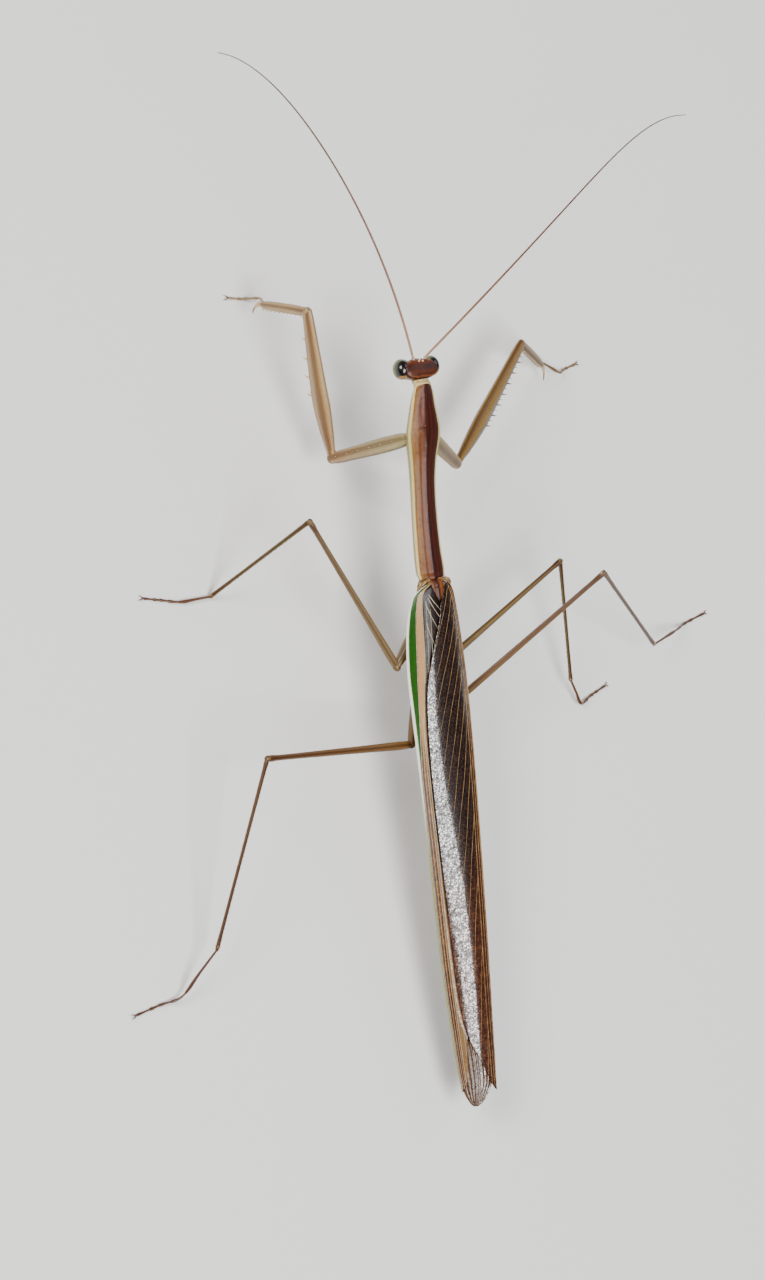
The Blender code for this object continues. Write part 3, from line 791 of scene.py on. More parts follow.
def feelerShape(side, sign):
    shape = newShape()
    root = headPoint(sign * feelers["root"][0], feelers["root"][1], feelers["root"][2])
    path = feelerPath(side, sign)
    aim = (path[1] - path[0]).normalized()
    base = headPoint(sign * 0.7, -0.6, 0.74)
    addBall(shape, headPoint(sign * 0.72, -0.74, 0.76), (0.3, 0.16, 0.3), headAxes, 24, 14, 1)
    scape = root + aim * 0.35 * mm
    thick = [(0, 0.15, 0.15), (0.5, 0.185, 0.185), (0.9, 0.17, 0.17), (1, 0.14, 0.14)]
    addTubeLimb(shape, [base, root.lerp(base, 0.3), scape], thick, (0, 0, 1), 0, 20, 20)
    thick = [(0, 0.105, 0.105), (0.5, 0.135, 0.135), (1, 0.11, 0.11)]
    addTubeLimb(shape, [scape, scape + aim * 0.3 * mm], thick, (0, 0, 1), 0.4, 16, 10)
    count = feelers["joints"] * 3
    fine = smoothPath(path, count)
    rings = []
    along = []
    for i, spot in enumerate(fine):
        t = i / count
        if t < 0.012:
            continue
        ahead = (fine[min(i + 1, count)] - fine[max(i - 1, 0)]).normalized()
        across = ahead.cross(Vector((0, 0, 1))).normalized()
        above = across.cross(ahead)
        thick = (0.118 * (1 - t) ** 0.7 + 0.042) * (0.92, 1.03, 1.06)[i % 3]     # joints swell to their far ends
        turns = [2 * pi * k / 8 for k in range(8)]
        rings.append([spot + (across * cos(a) + above * sin(a)) * thick * mm for a in turns])
        along.append(1 + t)
    addTube(shape, rings, along)
    return shape


def feelerMaterial():
    # pinkish cream at the root, browner outwards, with a dark ring at each joint
    material, tree = newMaterial("feeler", 0.45, 0.2)
    v = uvParts(tree)[1]
    body = ramp(times(v, 0.5), [
        (0.0, (200, 150, 128)), (0.3, (214, 180, 158)), (0.5, (196, 162, 138)),
        (0.6, (156, 118, 94)), (0.8, (122, 84, 62)), (1.0, (100, 66, 48))])
    step = work("FRACT", times(v, float(feelers["joints"])))
    body = paintOver(body, [((80, 50, 36), 0.4, between(step, 0.0, 0.24, 0.1))])
    return finishMaterial(material, body)


feelerSkin = feelerMaterial()
socketMaterial = shellMaterial("feeler sockets", (126, 62, 40), (186, 130, 104), 0.36, 0.4, 12000.0, 1500.0)
for side, sign in bothSides:
    addPiece(feelerShape(side, sign), "feeler_" + side, [feelerSkin, socketMaterial], "antenna", "antenna_" + side)
print("feelers built")


# neck
def bodyRing(s, sides, halfWidth, top, bottom, power=2.0, extra=None):
    # ring about the body's line; starts at the underside so that the seam lies there
    row = []
    for k in range(sides):
        a = 2 * pi * k / sides - pi / 2
        wide, high = rounded(a, power)
        x = halfWidth * wide
        h = (top + bottom) / 2 + (top - bottom) / 2 * high
        more = extra(x, s, h, sin(a)) if extra else 0.0
        row.append((x + cos(a) * more, s, h + sin(a) * more))
    return [bodyPoint(*spot) for spot in row], row


def bodySkin(rows, steps, sides, power, folds):
    # a skin along the body through rows of (s, half width, top, bottom)
    def ringAt(t):
        s = rows[0][0] + (rows[-1][0] - rows[0][0]) * t
        return bodyRing(s, sides, *smoothRead(rows, s), power, folds)

    return loft(evenly(steps), ringAt)


def neckFolds(x, s, h, n):
    return 0.045 * sin(s * 19.0 + 2.2 * sin(3 * x)) + 0.03 * cos(9 * atan2(x, h - 0.7))


neckRows = [(-1.45, 0.7, 0.55, -0.95), (-0.9, 0.98, 1.08, -0.5), (-0.4, 1.1, 1.4, -0.15), (0.0, 1.06, 1.5, 0.1),
            (0.5, 1.05, 1.48, 0.15)]
neckMaterial = shellMaterial("neck membrane", (204, 178, 130), (238, 222, 184), 0.5, 0.2, 9000.0, 1200.0, 0.00003)
addPiece(bodySkin(neckRows, 40, 64, 2.0, neckFolds), "neck_membrane", [neckMaterial], "membrane", "neck")


# pronotum
shield = {
    # s, half width, depth, rise
    "rows": [(-0.45, 0.98, 1.3, 1.72), (0.0, 1.16, 1.5, 1.7), (0.9, 1.45, 2.0, 1.58), (2.5, 1.75, 2.4, 1.38),
             (4.2, 2.1, 2.7, 1.26), (5.6, 2.32, 2.9, 1.1), (7.0, 2.22, 3.0, 0.85), (9.0, 1.9, 2.8, 0.45),
             (12.0, 1.7, 2.6, 0.05), (16.0, 1.75, 2.5, -0.22), (20.0, 1.85, 2.6, -0.2), (22.6, 1.95, 2.6, 0.0),
             (23.6, 1.75, 2.3, 0.1)],
    "front": -0.42,
    "length": 24.0,
    "rolled": 0.012,        # share of the length over which both ends are drawn in
    "sides": 88,
    "rings": 240,
    "margin": 0.43,         # place of the edge on the outline of a ring
}


def shieldHalf(s, share):
    # half the outline of the shield at s: share 0 at the keel, 1 at the middle of the underside
    wide, deep, rise = smoothRead(shield["rows"], s)
    rows = [(0.0, 0.0, 0.0), (0.1, 0.22, -0.035), (0.2, 0.5, -0.18), (0.3, 0.78, -0.38), (0.38, 0.94, -0.5),
            (0.43, 1.0, -0.58), (0.47, 0.985, -0.7), (0.52, 0.9, -0.95), (0.7, 0.8, -0.62 * deep),
            (0.87, 0.45, -0.93 * deep), (1.0, 0.0, -deep)]
    x, h = smoothRead(rows, share)
    x *= wide
    across = x / wide
    if share < 0.5:
        metazona = 1 / (1 + exp(-(s - 6.2) * 2.5))
        h += 0.09 * metazona * bump(x, 0.0, 0.16)                                    # keel
        h -= 0.04 * (1 - metazona) * bump(x, 0.0, 0.07)                              # seam before the groove
        arch = 5.15 + 0.75 * across ** 2
        h -= 0.035 * bump(s, arch, 0.14) * bump(across, 0.0, 0.5)                    # curved groove
        h += 0.015 * bump(s, arch - 0.35, 0.22) * bump(across, 0.0, 0.5)
        h -= 0.06 * bump(s, 2.7, 1.6) * bump(across, 0.3, 0.16)                     # long dimple in the front half
        h += 0.006 * sin(s * 5.3 + across * 9) * sin(s * 2.7 - across * 13) * bump(across, 0.0, 0.75)
        h -= 0.05 * metazona * bump(across, 0.32, 0.12)                              # hollows beside the keel
        h -= 0.03 * metazona * bump(across, 0.62, 0.06)
        h += 0.04 * bump(s, 23.3, 0.25) - 0.05 * bump(s, 22.75, 0.14)                # hind edge
        h += 0.07 * bump(s, -0.3, 0.16) - 0.04 * bump(s, 0.02, 0.12)                # collar
        h -= 0.05 * bump(across, 0.86, 0.06)                                         # gutter inside the margin
    return x, h + rise


def shieldRing(t):
    s = shield["front"] + shield["length"] * t
    wide, deep, rise = smoothRead(shield["rows"], s)
    near = min(t, 1 - t) / shield["rolled"]
    pull = 0.9 + 0.1 * sqrt(near) if near < 1 else 1.0
    middle = rise - 0.8
    ring = []
    row = []
    for k in range(shield["sides"]):
        turn = k / shield["sides"] * 2
        share = abs(1 - turn)
        sign = 1 if turn <= 1 else -1
        x, h = shieldHalf(s, share)
        x *= pull * sign
        ring.append(bodyPoint(x, s, middle + (h - middle) * pull))
        row.append((x / wide, s, share))
    return ring, row


def shieldMaterial():
    # cream margins, a maroon keel, an ochre left half that is painted light with a painted rosy highlight, and a
    # maroon right half that is painted shade
    material, tree = newMaterial("pronotum shell", 0.46, 0.1, 0.2, 0.22)
    x, s, share = readSpot(tree)
    where = objectPlace(tree)
    out = addGrain(tree, 8000.0, 700.0)
    shift = times(minus(noise(where, 600.0, 5.0), 0.5), 0.16)
    across = plus(x, shift)
    # the left half is painted lighter and the right half darker: painted light on the left, painted shade on the right
    body = ramp(spread(across, -1.0, 1.0), [
        (0.0, (116, 66, 38)), (0.1, (92, 44, 26)), (0.26, (74, 30, 18)), (0.34, (104, 50, 30)), (0.4, (66, 26, 16)),
        (0.505, (60, 22, 14)), (0.55, (112, 66, 34)), (0.66, (134, 90, 44)), (0.8, (150, 108, 54)),
        (0.92, (168, 128, 68)), (1.0, (200, 166, 104))])
    oval = vectorWork("LENGTH", joined(times(minus(across, 0.26), 3.4), times(minus(s, 2.7), 0.4)), None, "Value")
    arc = plus(s, times(x, x, -0.9))
    mottle = spread(noise(where, 2600.0, 6.0, 0.7), 0.5, 0.66, 0.0, 0.55)
    rough = plus(share, times(shift, 0.08))
    cream = blend(between(s, 4.0, 12.0, 2.5), (222, 206, 158), (206, 204, 146))
    fore = plus(s, times(x, x, -0.35))
    body = paintOver(body, [
        # rosy oval in front of the groove, a painted highlight, and a rosy stripe beside the keel behind it
        ((122, 66, 46), 0.75, between(oval, -1.0, 0.9, 0.2)),
        ((96, 44, 26), 0.6, between(oval, 0.86, 1.1, 0.1)),
        ((142, 84, 44), 0.6, between(across, 0.1, 0.34, 0.05), between(s, 6.2, 24.0, 0.6)),
        ((104, 54, 30), 0.5, between(across, 0.4, 0.47, 0.03), between(s, 6.5, 24.0, 0.8)),
        ((62, 16, 10), 0.8, between(across, -0.06, 0.05, 0.03)),                                # keel
        # pale arc on the lip before the groove, left of the keel only: a painted highlight
        ((190, 132, 92), 0.6, between(arc, 4.78, 4.92, 0.06), between(across, 0.06, 0.16, 0.06)),
        ((74, 34, 20), 0.5, between(arc, 5.08, 5.24, 0.06), between(across, -0.5, 0.5, 0.1)),   # groove
        ((84, 40, 22), 1.0, mottle),
        ((102, 50, 24), 0.3, out["Blotches"]),
        # margins, collar and underside
        (cream, 0.95, between(rough, 0.345, 0.56, 0.015)),
        ((240, 232, 200), 0.8, between(rough, 0.42, 0.455, 0.008)),
        ((228, 208, 160), 0.9, between(fore, -3.0, -0.2, 0.08)),
        ((204, 190, 142), 1.0, between(share, 0.58, 2.0, 0.05))])
    return finishMaterial(material, body, out["Height"])


addPiece(loft(evenly(shield["rings"]), shieldRing), "pronotum_shell", [shieldMaterial()], "back_shell", "pronotum")

marginTeeth = []
random.seed(11)
for sign in (1, -1):
    s = 0.9
    while s < 17.0:
        x, h = shieldHalf(s, shield["margin"])
        spot = bodyPoint(sign * x * 0.985, s, h)
        aim = bodyPoint(sign * (x + 1), s + 0.35, h) - bodyPoint(sign * x, s, h)
        size = random.uniform(0.08, 0.13) * (1.0 if s < 9 else 0.75)
        marginTeeth.append((spot, aim.normalized(), Vector((0, 1, 0)), size, size * 0.42))
        s += random.uniform(0.24, 0.36)
addSpines("pronotum_teeth", marginTeeth, creamShell, "back_shell", 5, 2, 0.2)
print("pronotum built")


# scutellum, and the plate behind the pronotum
scutellumRows = [(23.55, 0.8, 0.12, -0.3), (23.8, 0.98, 0.45, -0.2), (24.3, 1.05, 0.62, -0.1),
                 (25.3, 0.82, 0.72, 0.0), (26.0, 0.42, 0.66, 0.05), (26.35, 0.12, 0.5, 0.2)]
plateRows = [(23.75, 0.9, 0.1, -0.7), (24.4, 1.5, 0.26, -1.0), (25.4, 1.8, 0.3, -1.1), (27.0, 2.00, 0.2, -1.2),
             (29.0, 2.2, 0.00, -1.3), (31.0, 2.00, -0.25, -1.4), (32.0, 1.5, -0.5, -1.3)]


def scutellumFolds(x, s, h, n):
    if n <= 0:
        return 0.0
    return 0.07 * bump(x, 0.0, 0.1) - 0.06 * bump(abs(x), 0.34, 0.1) - 0.05 * bump(s, 24.35 + 0.5 * x * x, 0.1)


def plateFolds(x, s, h, n):
    if n <= 0:
        return 0.0
    return 0.05 * bump(x, 0.0, 0.12) - 0.05 * bump(abs(x), 0.9, 0.12) - 0.05 * bump(s, 26.4, 0.12)


def scutellumMaterial():
    material, tree = newMaterial("scutellum shell", 0.46, 0.08, 0.2, 0.3)
    x, s, h = readSpot(tree)
    out = addGrain(tree, 9000.0, 1200.0)
    body = ramp(spread(x, -1.0, 1.0), [
        (0.0, (150, 106, 58)), (0.3, (150, 94, 44)), (0.44, (108, 60, 30)), (0.47, (58, 26, 16)), (0.53, (54, 22, 14)),
        (0.58, (98, 58, 42)), (0.74, (120, 78, 56)), (0.9, (160, 126, 96)), (1.0, (196, 170, 132))])
    body = paintOver(body, [((104, 50, 28), 0.3, out["Blotches"])])
    return finishMaterial(material, body, out["Height"])


scutellum = bodySkin(scutellumRows, 44, 48, 2.0, scutellumFolds)
addPiece(scutellum, "scutellum_shell", [scutellumMaterial()], "head_shell", "scutellum")
# dark plate of the middle thorax, on which both forewings lie
plateMaterial = shellMaterial("wing base shell", (58, 30, 20), (92, 52, 34), 0.45, 0.15)
addPiece(bodySkin(plateRows, 39, 56, 2.2, plateFolds), "wing_base_plate", [plateMaterial], "back_shell")

# wrinkled pale folds and knobs where the forewings are hinged: three places, half width, half height
hingeFolds = [
    ((1.00, 23.45, 0.14), (1.5, 23.7, 0.2), (2.00, 24.15, -0.02), 0.3, 0.17),
    ((1.00, 23.8, 0.24), (1.4, 24.25, 0.34), (1.7, 24.95, 0.26), 0.24, 0.13),
    ((1.65, 23.5, -0.18), (2.1, 23.85, -0.12), (2.4, 24.5, -0.32), 0.26, 0.17),
    ((0.95, 24.1, 0.3), (1.15, 24.6, 0.4), (1.35, 25.3, 0.42), 0.14, 0.1),
    ((1.95, 24.05, -0.12), (2.05, 24.5, -0.04), (2.05, 25.1, -0.08), 0.18, 0.12),
    ((0.6, 23.5, 0.00), (1.1, 23.62, 0.1), (1.6, 23.66, -0.05), 0.2, 0.14),
]


def wrinkles(n):
    def section(angle, t):
        more = 0.1 * sin(angle * 3 + n * 2 + t * 5) + 0.09 * sin(t * 17 + n)
        return 1 + more + 0.06 * sin(angle * 5 - t * 11)
    return section


def hingeShape():
    shape = newShape()
    for sign in (1, -1):
        for n, (*spots, wide, high) in enumerate(hingeFolds):
            path = smoothPath([bodyPoint(sign * x, s, h) for x, s, h in spots], 12)
            widths = [(0, wide * 0.7, high * 0.7), (0.45, wide, high), (0.8, wide * 0.8, high * 0.85),
                      (1, wide * 0.35, high * 0.4)]
            addTubeLimb(shape, path, widths, (0, 0, 1), n, 24, 22, 0, wrinkles(n))
    return shape


hingeMaterial = shellMaterial("wing hinge folds", (120, 84, 58), (214, 186, 142), 0.5, 0.1, 5000.0, 2200.0, 0.00006)
addPiece(hingeShape(), "wing_hinges", [hingeMaterial], "belly_shell")


# thorax and abdomen, one skin
trunk = {
    # s, half width, top, bottom
    "thorax": [(23.3, 1.25, -0.3, -1.9), (23.9, 1.5, -0.15, -2.2), (25.0, 1.62, -0.15, -2.6),
               (27.0, 1.8, -0.4, -3.3), (29.5, 2.1, -0.8, -4.1), (32.5, 2.24, -0.95, -4.5),
               (35.5, 2.26, -0.75, -4.6), (38.0, 1.7, -0.88, -4.1), (39.4, 1.32, -0.9, -3.35)],
    "front": 23.35,
    "waist": 39.4,
    "span": (38.2, 75.5),
    "halfWidth": 2.05,
    "top": -0.9,
    "depth": 3.0,
    "joints": 8,
    "rings": 420,
    "sides": 72,
    "tail": [(0, 0.34, 0.26), (0.5, 0.32, 0.24), (0.85, 0.22, 0.18), (1, 0.1, 0.09)],
}


def abdomenHalf(s):
    first, last = trunk["span"]
    t = (s - first) / (last - first)
    bulge = 1.0 - 0.45 * max(1 - t / 0.22, 0.0) ** 1.5 - 1.1 * max(t - 0.62, 0.0) ** 1.3
    return trunk["halfWidth"] * bulge


def trunkRow(s):
    waist = trunk["waist"]
    if s < waist:
        return smoothRead(trunk["thorax"], s)
    half = abdomenHalf(s)
    front = smoothRead(trunk["thorax"], waist)
    back = (half, trunk["top"], trunk["top"] - trunk["depth"] * half / trunk["halfWidth"])
    return tuple(a + (b - a) * min((s - waist) / 3.0, 1.0) for a, b in zip(front, back))


def trunkFolds(x, s, h, n):
    first, last = trunk["span"]
    if s < 39.0:
        # plates of the thorax: upright seams on the flanks and a keel below
        out = -0.1 * sum(bump(s, seam - 0.5 * n, 0.16) for seam in (28.1, 31.6, 35.0))
        out += 0.07 * bump(s, 29.8, 0.8) + 0.07 * bump(s, 33.4, 0.8)
        if n < -0.5:
            out += 0.12 * bump(x, 0.0, 0.3)
        return out * (1 - bump(s, trunk["waist"], 0.8))
    t = (s - first) / (last - first) * trunk["joints"]
    # each ring laps over the next one, with a soft fold down the side
    lap = 0.11 * (t - floor(t)) ** 2.5 - 0.03
    return (lap if n > -0.95 else lap * 0.8) - 0.14 * bump(n, -0.12, 0.13)


def trunkRing(t):
    end = trunk["span"][1]
    if t <= 1:
        s = trunk["front"] + (end - trunk["front"]) * t
        return bodyRing(s, trunk["sides"], *trunkRow(s), 2.2 if s < 38 else 2.0, trunkFolds)
    # the last plate is rounded off
    share = (t - 1) / 0.02
    keep = sqrt(1 - share ** 2)
    wide, top, bottom = trunkRow(end)
    centre = (top + bottom) / 2
    return bodyRing(end + share * 1.5, trunk["sides"], wide * keep, centre + (top - centre) * keep,
                    centre + (bottom - centre) * keep)


def trunkShape():
    shape = loft(evenly(trunk["rings"]) + [1 + share * 0.02 for share in (0.25, 0.5, 0.75, 0.92)], trunkRing)

    def beads(angle, t):
        return 1.0 + 0.14 * sin(t * 2 * pi * 12)

    # two jointed tails
    for sign in (1, -1):
        path = [bodyPoint(sign * 0.6, 75.3, trunk["top"] - 0.8), bodyPoint(sign * 1.75, 79.1, trunk["top"] - 0.9)]
        addTubeLimb(shape, path, trunk["tail"], (0, 0, 1), 2, 16, 72, 0, beads)
    return shape


def trunkMaterial():
    # straw-coloured belly with browner plates above and a dark fold at each ring
    material, tree = newMaterial("belly shell", 0.42, 0.25, 0.2)
    x, s, h = readSpot(tree)
    out = addGrain(tree, 7000.0, 500.0)
    first, last = trunk["span"]
    body = ramp(spread(h, -4.6, -0.8), [
        (0.0, (200, 176, 120)), (0.35, (188, 164, 106)), (0.5, (162, 142, 84)), (0.62, (178, 158, 104)),
        (1.0, (140, 96, 54))])
    step = work("FRACT", times(minus(s, first), trunk["joints"] / (last - first)))
    fold = plus(between(step, 0.9, 1.1, 0.03), between(step, -0.1, 0.06, 0.03))
    body = paintOver(body, [
        ((112, 76, 40), 0.55, fold, between(s, 39.0, 80.0, 0.2)),
        ((150, 116, 66), 0.35, out["Blotches"])])
    return finishMaterial(material, body, out["Height"], 0.5, 0.00003)


trunkNodes = ("thorax", "abdomen", "cercus_left", "cercus_right")
addPiece(trunkShape(), "trunk_skin", [trunkMaterial()], "belly_shell", *trunkNodes)
print("body built")


# wings
wings = {
    # s, half width, fall from the crown to the edge
    "rows": [(23.4, 1.6, 0.3), (24.1, 2.1, 0.5), (25.5, 2.75, 1.00), (28.0, 3.4, 1.5), (31.0, 3.85, 1.78),
             (35.0, 4.12, 1.8), (40.0, 4.08, 1.55), (46.0, 3.88, 1.2), (54.0, 3.68, 1.00), (64.0, 3.46, 0.88),
             (72.0, 3.25, 0.8), (78.0, 3.02, 0.72), (83.0, 2.82, 0.64), (90.0, 2.5, 0.55)],
    # how much wider the left side lies than the right
    "spread": [(24.1, 0.45), (26.0, 0.6), (29.0, 0.5), (33.0, 0.38), (40.0, 0.36), (46.0, 0.36), (60.0, 0.1),
               (74.0, -0.12), (86.0, -0.4)],
    # roll of the folded pair towards the left, as a slope
    "roll": [(24.0, 0.0), (38.0, 0.0), (46.0, 0.07), (54.0, 0.16), (62.0, 0.24), (72.0, 0.32), (80.0, 0.34),
             (90.0, 0.34)],
    # how squarely the pair is rounded across
    "power": [(24.0, 2.4), (42.0, 2.4), (58.0, 2.0), (90.0, 1.9)],
    "crown": 0.75,
    # edge of the right forewing, which lies on top of the left one
    "lap": [(24.1, 0.0), (26.5, 0.0), (28.0, 0.22), (29.5, 0.62), (31.5, 1.32), (35.0, 2.38), (37.5, 2.82),
            (41.0, 3.02), (45.0, 3.04), (50.0, 2.9), (58.0, 2.52), (66.0, 2.16), (74.0, 1.8), (78.0, 1.45),
            (81.0, 0.75), (83.3, -0.3), (85.0, -0.98), (86.2, -1.42), (86.9, -1.8), (87.2, -2.15)],
    # inner edge of the left forewing, hidden until it draws in towards its tip
    "hidden": [(24.1, 0.0), (26.5, -0.2), (29.5, -0.4), (35.0, 0.6), (44.0, 1.3), (58.0, 1.2), (72.0, 0.7),
               (78.0, 0.8), (81.0, 1.2), (84.0, 1.36), (86.0, 1.62), (86.9, 2.1)],
    # how far the inner edges stand apart beside the scutellum
    "notch": [(24.1, 0.98), (25.0, 0.72), (25.8, 0.42), (26.6, 0.05), (27.2, 0.0), (90.0, 0.0)],
    "tips": {"left": (2.1, 86.9, 3.6), "right": (-2.15, 87.2, 4.4)},     # x, s, length of the rounding
    "thick": 0.12,
    "start": 24.0,
    "rings": 320,
    # distance from the outer edge to the end of the rim, of the second band and of the third
    "bands": {
        "left": [(24.0, 0.06, 0.35, 0.6), (26.5, 0.14, 0.68, 1.3), (30.0, 0.2, 0.95, 1.72),
                 (34.0, 0.21, 0.98, 1.8), (37.5, 0.24, 0.85, 1.44), (41.0, 0.25, 0.66, 1.22),
                 (45.0, 0.22, 0.44, 1.14), (48.0, 0.17, 0.3, 1.12), (60.0, 0.12, 0.22, 1.1),
                 (75.0, 0.1, 0.2, 0.9), (88.0, 0.08, 0.15, 0.6)],
        "right": [(24.0, 0.1, 0.4, 0.7), (30.0, 0.24, 0.55, 1.0), (50.0, 0.24, 0.55, 0.95), (75.0, 0.2, 0.5, 0.9),
                  (88.0, 0.1, 0.3, 0.6)],
    },
}


def wingValue(name, s):
    return smoothRead(wings[name], s)[0]


def wingRow(x, s):
    half, fall = smoothRead(wings["rows"], s)
    if x > 0:
        half += wingValue("spread", s)
    else:
        half -= 0.62 * wingValue("roll", s) * half
    return half, fall


def wingTop(x, s):
    half, fall = wingRow(x, s)
    return wings["crown"] - fall * (abs(x) / half) ** wingValue("power", s) - wingValue("roll", s) * x


def wingSpan(side, s):
    # inner and outer edge of a forewing at s
    sign = 1 if side == "left" else -1
    outer = wingRow(sign, s)[0] * sign
    inner = wingValue("hidden" if side == "left" else "lap", s) + sign * wingValue("notch", s)
    middle, tip, length = wings["tips"][side]
    over = min(max(s - (tip - length), 0.0) / length, 1.0)
    outer = middle + (outer - middle) * sqrt(max(1 - over ** 2.2, 0.0))
    # rounded shoulder
    near = min(max(1 - (s - wings["start"]) / 1.6, 0.0), 1.0)
    outer -= (outer - sign * 1.45) * near ** 3 * 0.8
    return inner, outer


def bandAt(side, x, s):
    # 0 to 1 over the rim, to 2 over the second band, to 3 over the third, then millimetres beyond
    edge = abs(wingSpan(side, s)[1] - x)
    at = 0.0
    for k, stop in enumerate(smoothRead(wings["bands"][side], s)):
        if edge < stop:
            return k + (edge - at) / (stop - at)
        at = stop
    return 3 + edge - at


def wingHeight(side, x, s):
    # the right forewing lies on the left one
    h = wingTop(x, s)
    edge = abs(wingSpan(side, s)[1] - x)
    h += 0.06 * bump(edge, 0.12, 0.2) - 0.05 * bump(edge, 1.2, 0.5)
    if side == "left":
        lap = wingValue("lap", s)
        h -= 0.15 / (1 + exp(min((x - lap - 0.02) * 12.0, 60)))
    else:
        h += 0.02
    return h


def wingShape(side):
    start = wings["start"]
    length = wings["tips"][side][1] - start - 0.01

    def ringAt(t):
        s = start + length * (1 - (1 - t) ** 1.15)
        inner, outer = wingSpan(side, s)
        stops = [0.0] + list(smoothRead(wings["bands"][side], s))
        width = abs(outer - inner)
        if stops[-1] > width * 0.9:
            stops = [v * width * 0.9 / stops[-1] for v in stops]
        offsets = []
        for a, b, count in zip(stops, stops[1:] + [width], (4, 6, 8, 34)):
            offsets += [a + (b - a) * k / count for k in range(count)]
        sign = 1 if outer > inner else -1
        row = [outer - sign * v for v in offsets + [width]]
        ring = [bodyPoint(x, s, wingHeight(side, x, s)) for x in row]
        for x in row[::-1]:
            share = min(abs(x - inner), abs(outer - x)) / 0.25          # thin at both edges
            thick = wings["thick"] * (0.3 + 0.7 * min(share, 1.0))
            ring.append(bodyPoint(x, s, wingHeight(side, x, s) - thick))
        return ring, [(x, s, bandAt(side, x, s)) for x in row + row[::-1]]

    return loft(evenly(wings["rings"]), ringAt)


def addVein(net, side, spots, girth, lift=0.012, taper=0.35):
    start = len(net["points"])
    for i, (x, s) in enumerate(spots):
        net["points"].append(bodyPoint(x, s, wingHeight(side, x, s) + lift))
        net["girth"].append(girth * (1.0 - taper * i / (len(spots) - 1)))
        if i:
            net["edges"].append((start + i - 1, start + i))


def inWing(side, x, s, margin=0.06):
    if s < wings["start"] + 0.1 or s > wings["tips"][side][1] - 0.1:
        return False
    inner, outer = wingSpan(side, s)
    return min(inner, outer) + margin < x < max(inner, outer) - margin


def onShow(side, x, s):
    # the left forewing is only worth drawing where the right one leaves it bare
    return side == "right" or x > wingValue("lap", s) - 0.25


def clipped(side, spots, margin=0.05):
    runs = [[]]
    for spot in spots:
        if inWing(side, *spot, margin=margin) and onShow(side, *spot):
            runs[-1].append(spot)
        elif runs[-1]:
            runs.append([])
    return [run for run in runs if len(run) > 1]


def emptyNet():
    return {"points": [], "edges": [], "girth": []}


def addRuns(net, side, spots, girth, lift=0.012, taper=0.35, margin=0.05):
    for run in clipped(side, spots, margin):
        addVein(net, side, run, girth, lift, taper)


def addLadder(net, side, lineA, lineB, first, stop, gap, girth, lean, rng, kink=0.05):
    # cross veins from one line to its neighbour, at uneven steps
    s = first
    while s < stop:
        a = (lineA(s), s)
        b = (lineB(s + lean), s + lean)
        width = abs(a[0] - b[0])
        if width > 0.05 and all(inWing(side, *spot, margin=0.0) and onShow(side, *spot) for spot in (a, b)):
            x = (a[0] + b[0]) / 2 + rng.uniform(-kink, kink) * width
            middle = (x, (a[1] + b[1]) / 2 + rng.uniform(-kink, kink))
            addVein(net, side, [a, middle, b], girth * rng.uniform(0.75, 1.2), 0.008, 0.0)
        s += gap * rng.uniform(0.7, 1.35)


def edgeLine(side, band):
    # a line that keeps to one place in the bands along the outer edge
    def line(s):
        outer = wingSpan(side, s)[1]
        stops = [0.0] + list(smoothRead(wings["bands"][side], s))
        k = min(int(band), 3)
        offset = stops[k] + (band - k) * ((stops[k + 1] - stops[k]) if k < 3 else 1.0)
        return outer - copysign(offset, outer)
    return line


veinSteps = {
    # how far the slanting veins have crossed by s, and where the first one starts
    "drift": [(24.0, 0.0), (30.0, 2.1), (38.0, 5.0), (44.0, 6.7), (50.0, 8.1), (56.0, 9.3), (64.0, 10.7),
              (72.0, 11.8), (80.0, 12.7), (88.0, 13.5)],
    "first": -0.55,
    "gap": 1.05,
    "count": 15,
}


def slantLine(n):
    def line(s):
        start = veinSteps["first"] - veinSteps["gap"] * n
        return start + smoothRead(veinSteps["drift"], s)[0] + 0.05 * sin(s * 0.6 + n * 1.7)
    return line


def rightVeins():
    rng = random.Random(9)
    main, fine = emptyNet(), emptyNet()
    for band, girth in ((1.0, 0.045), (2.0, 0.032), (3.0, 0.04)):
        line = edgeLine("right", band)
        addRuns(main, "right", [(line(s), s) for s in np.arange(24.6, 87.4, 0.4)], girth)
    stem = edgeLine("right", 3.0)

    def held(n):
        line = slantLine(n)
        return lambda s: max(line(s), stem(s))

    for n in range(veinSteps["count"]):
        line = slantLine(n)
        spots = [(line(s), s) for s in np.arange(24.8, 87.4, 0.35)]
        addRuns(main, "right", [spot for spot in spots if spot[0] > stem(spot[1]) - 0.02], 0.029, 0.01, 0.4)
        middle = slantLine(n + 0.5)
        spots = [(middle(s) + 0.03 * sin(s * 9 + n), s) for s in np.arange(25.6, 87.2, 0.2)]
        addRuns(fine, "right", [spot for spot in spots if spot[0] > stem(spot[1]) + 0.1], 0.017, 0.008, 0.0)
    for n in np.arange(0.5, veinSteps["count"], 0.5):
        addLadder(fine, "right", held(n - 0.5), held(n), 25.2, 87.3, 0.4, 0.016, 0.36, rng)
    for a, b in ((0.9, 2.0), (2.0, 3.0)):
        addLadder(fine, "right", edgeLine("right", a), edgeLine("right", b), 25.6, 86.5, 0.42, 0.015, 0.1, rng)
    return main, fine


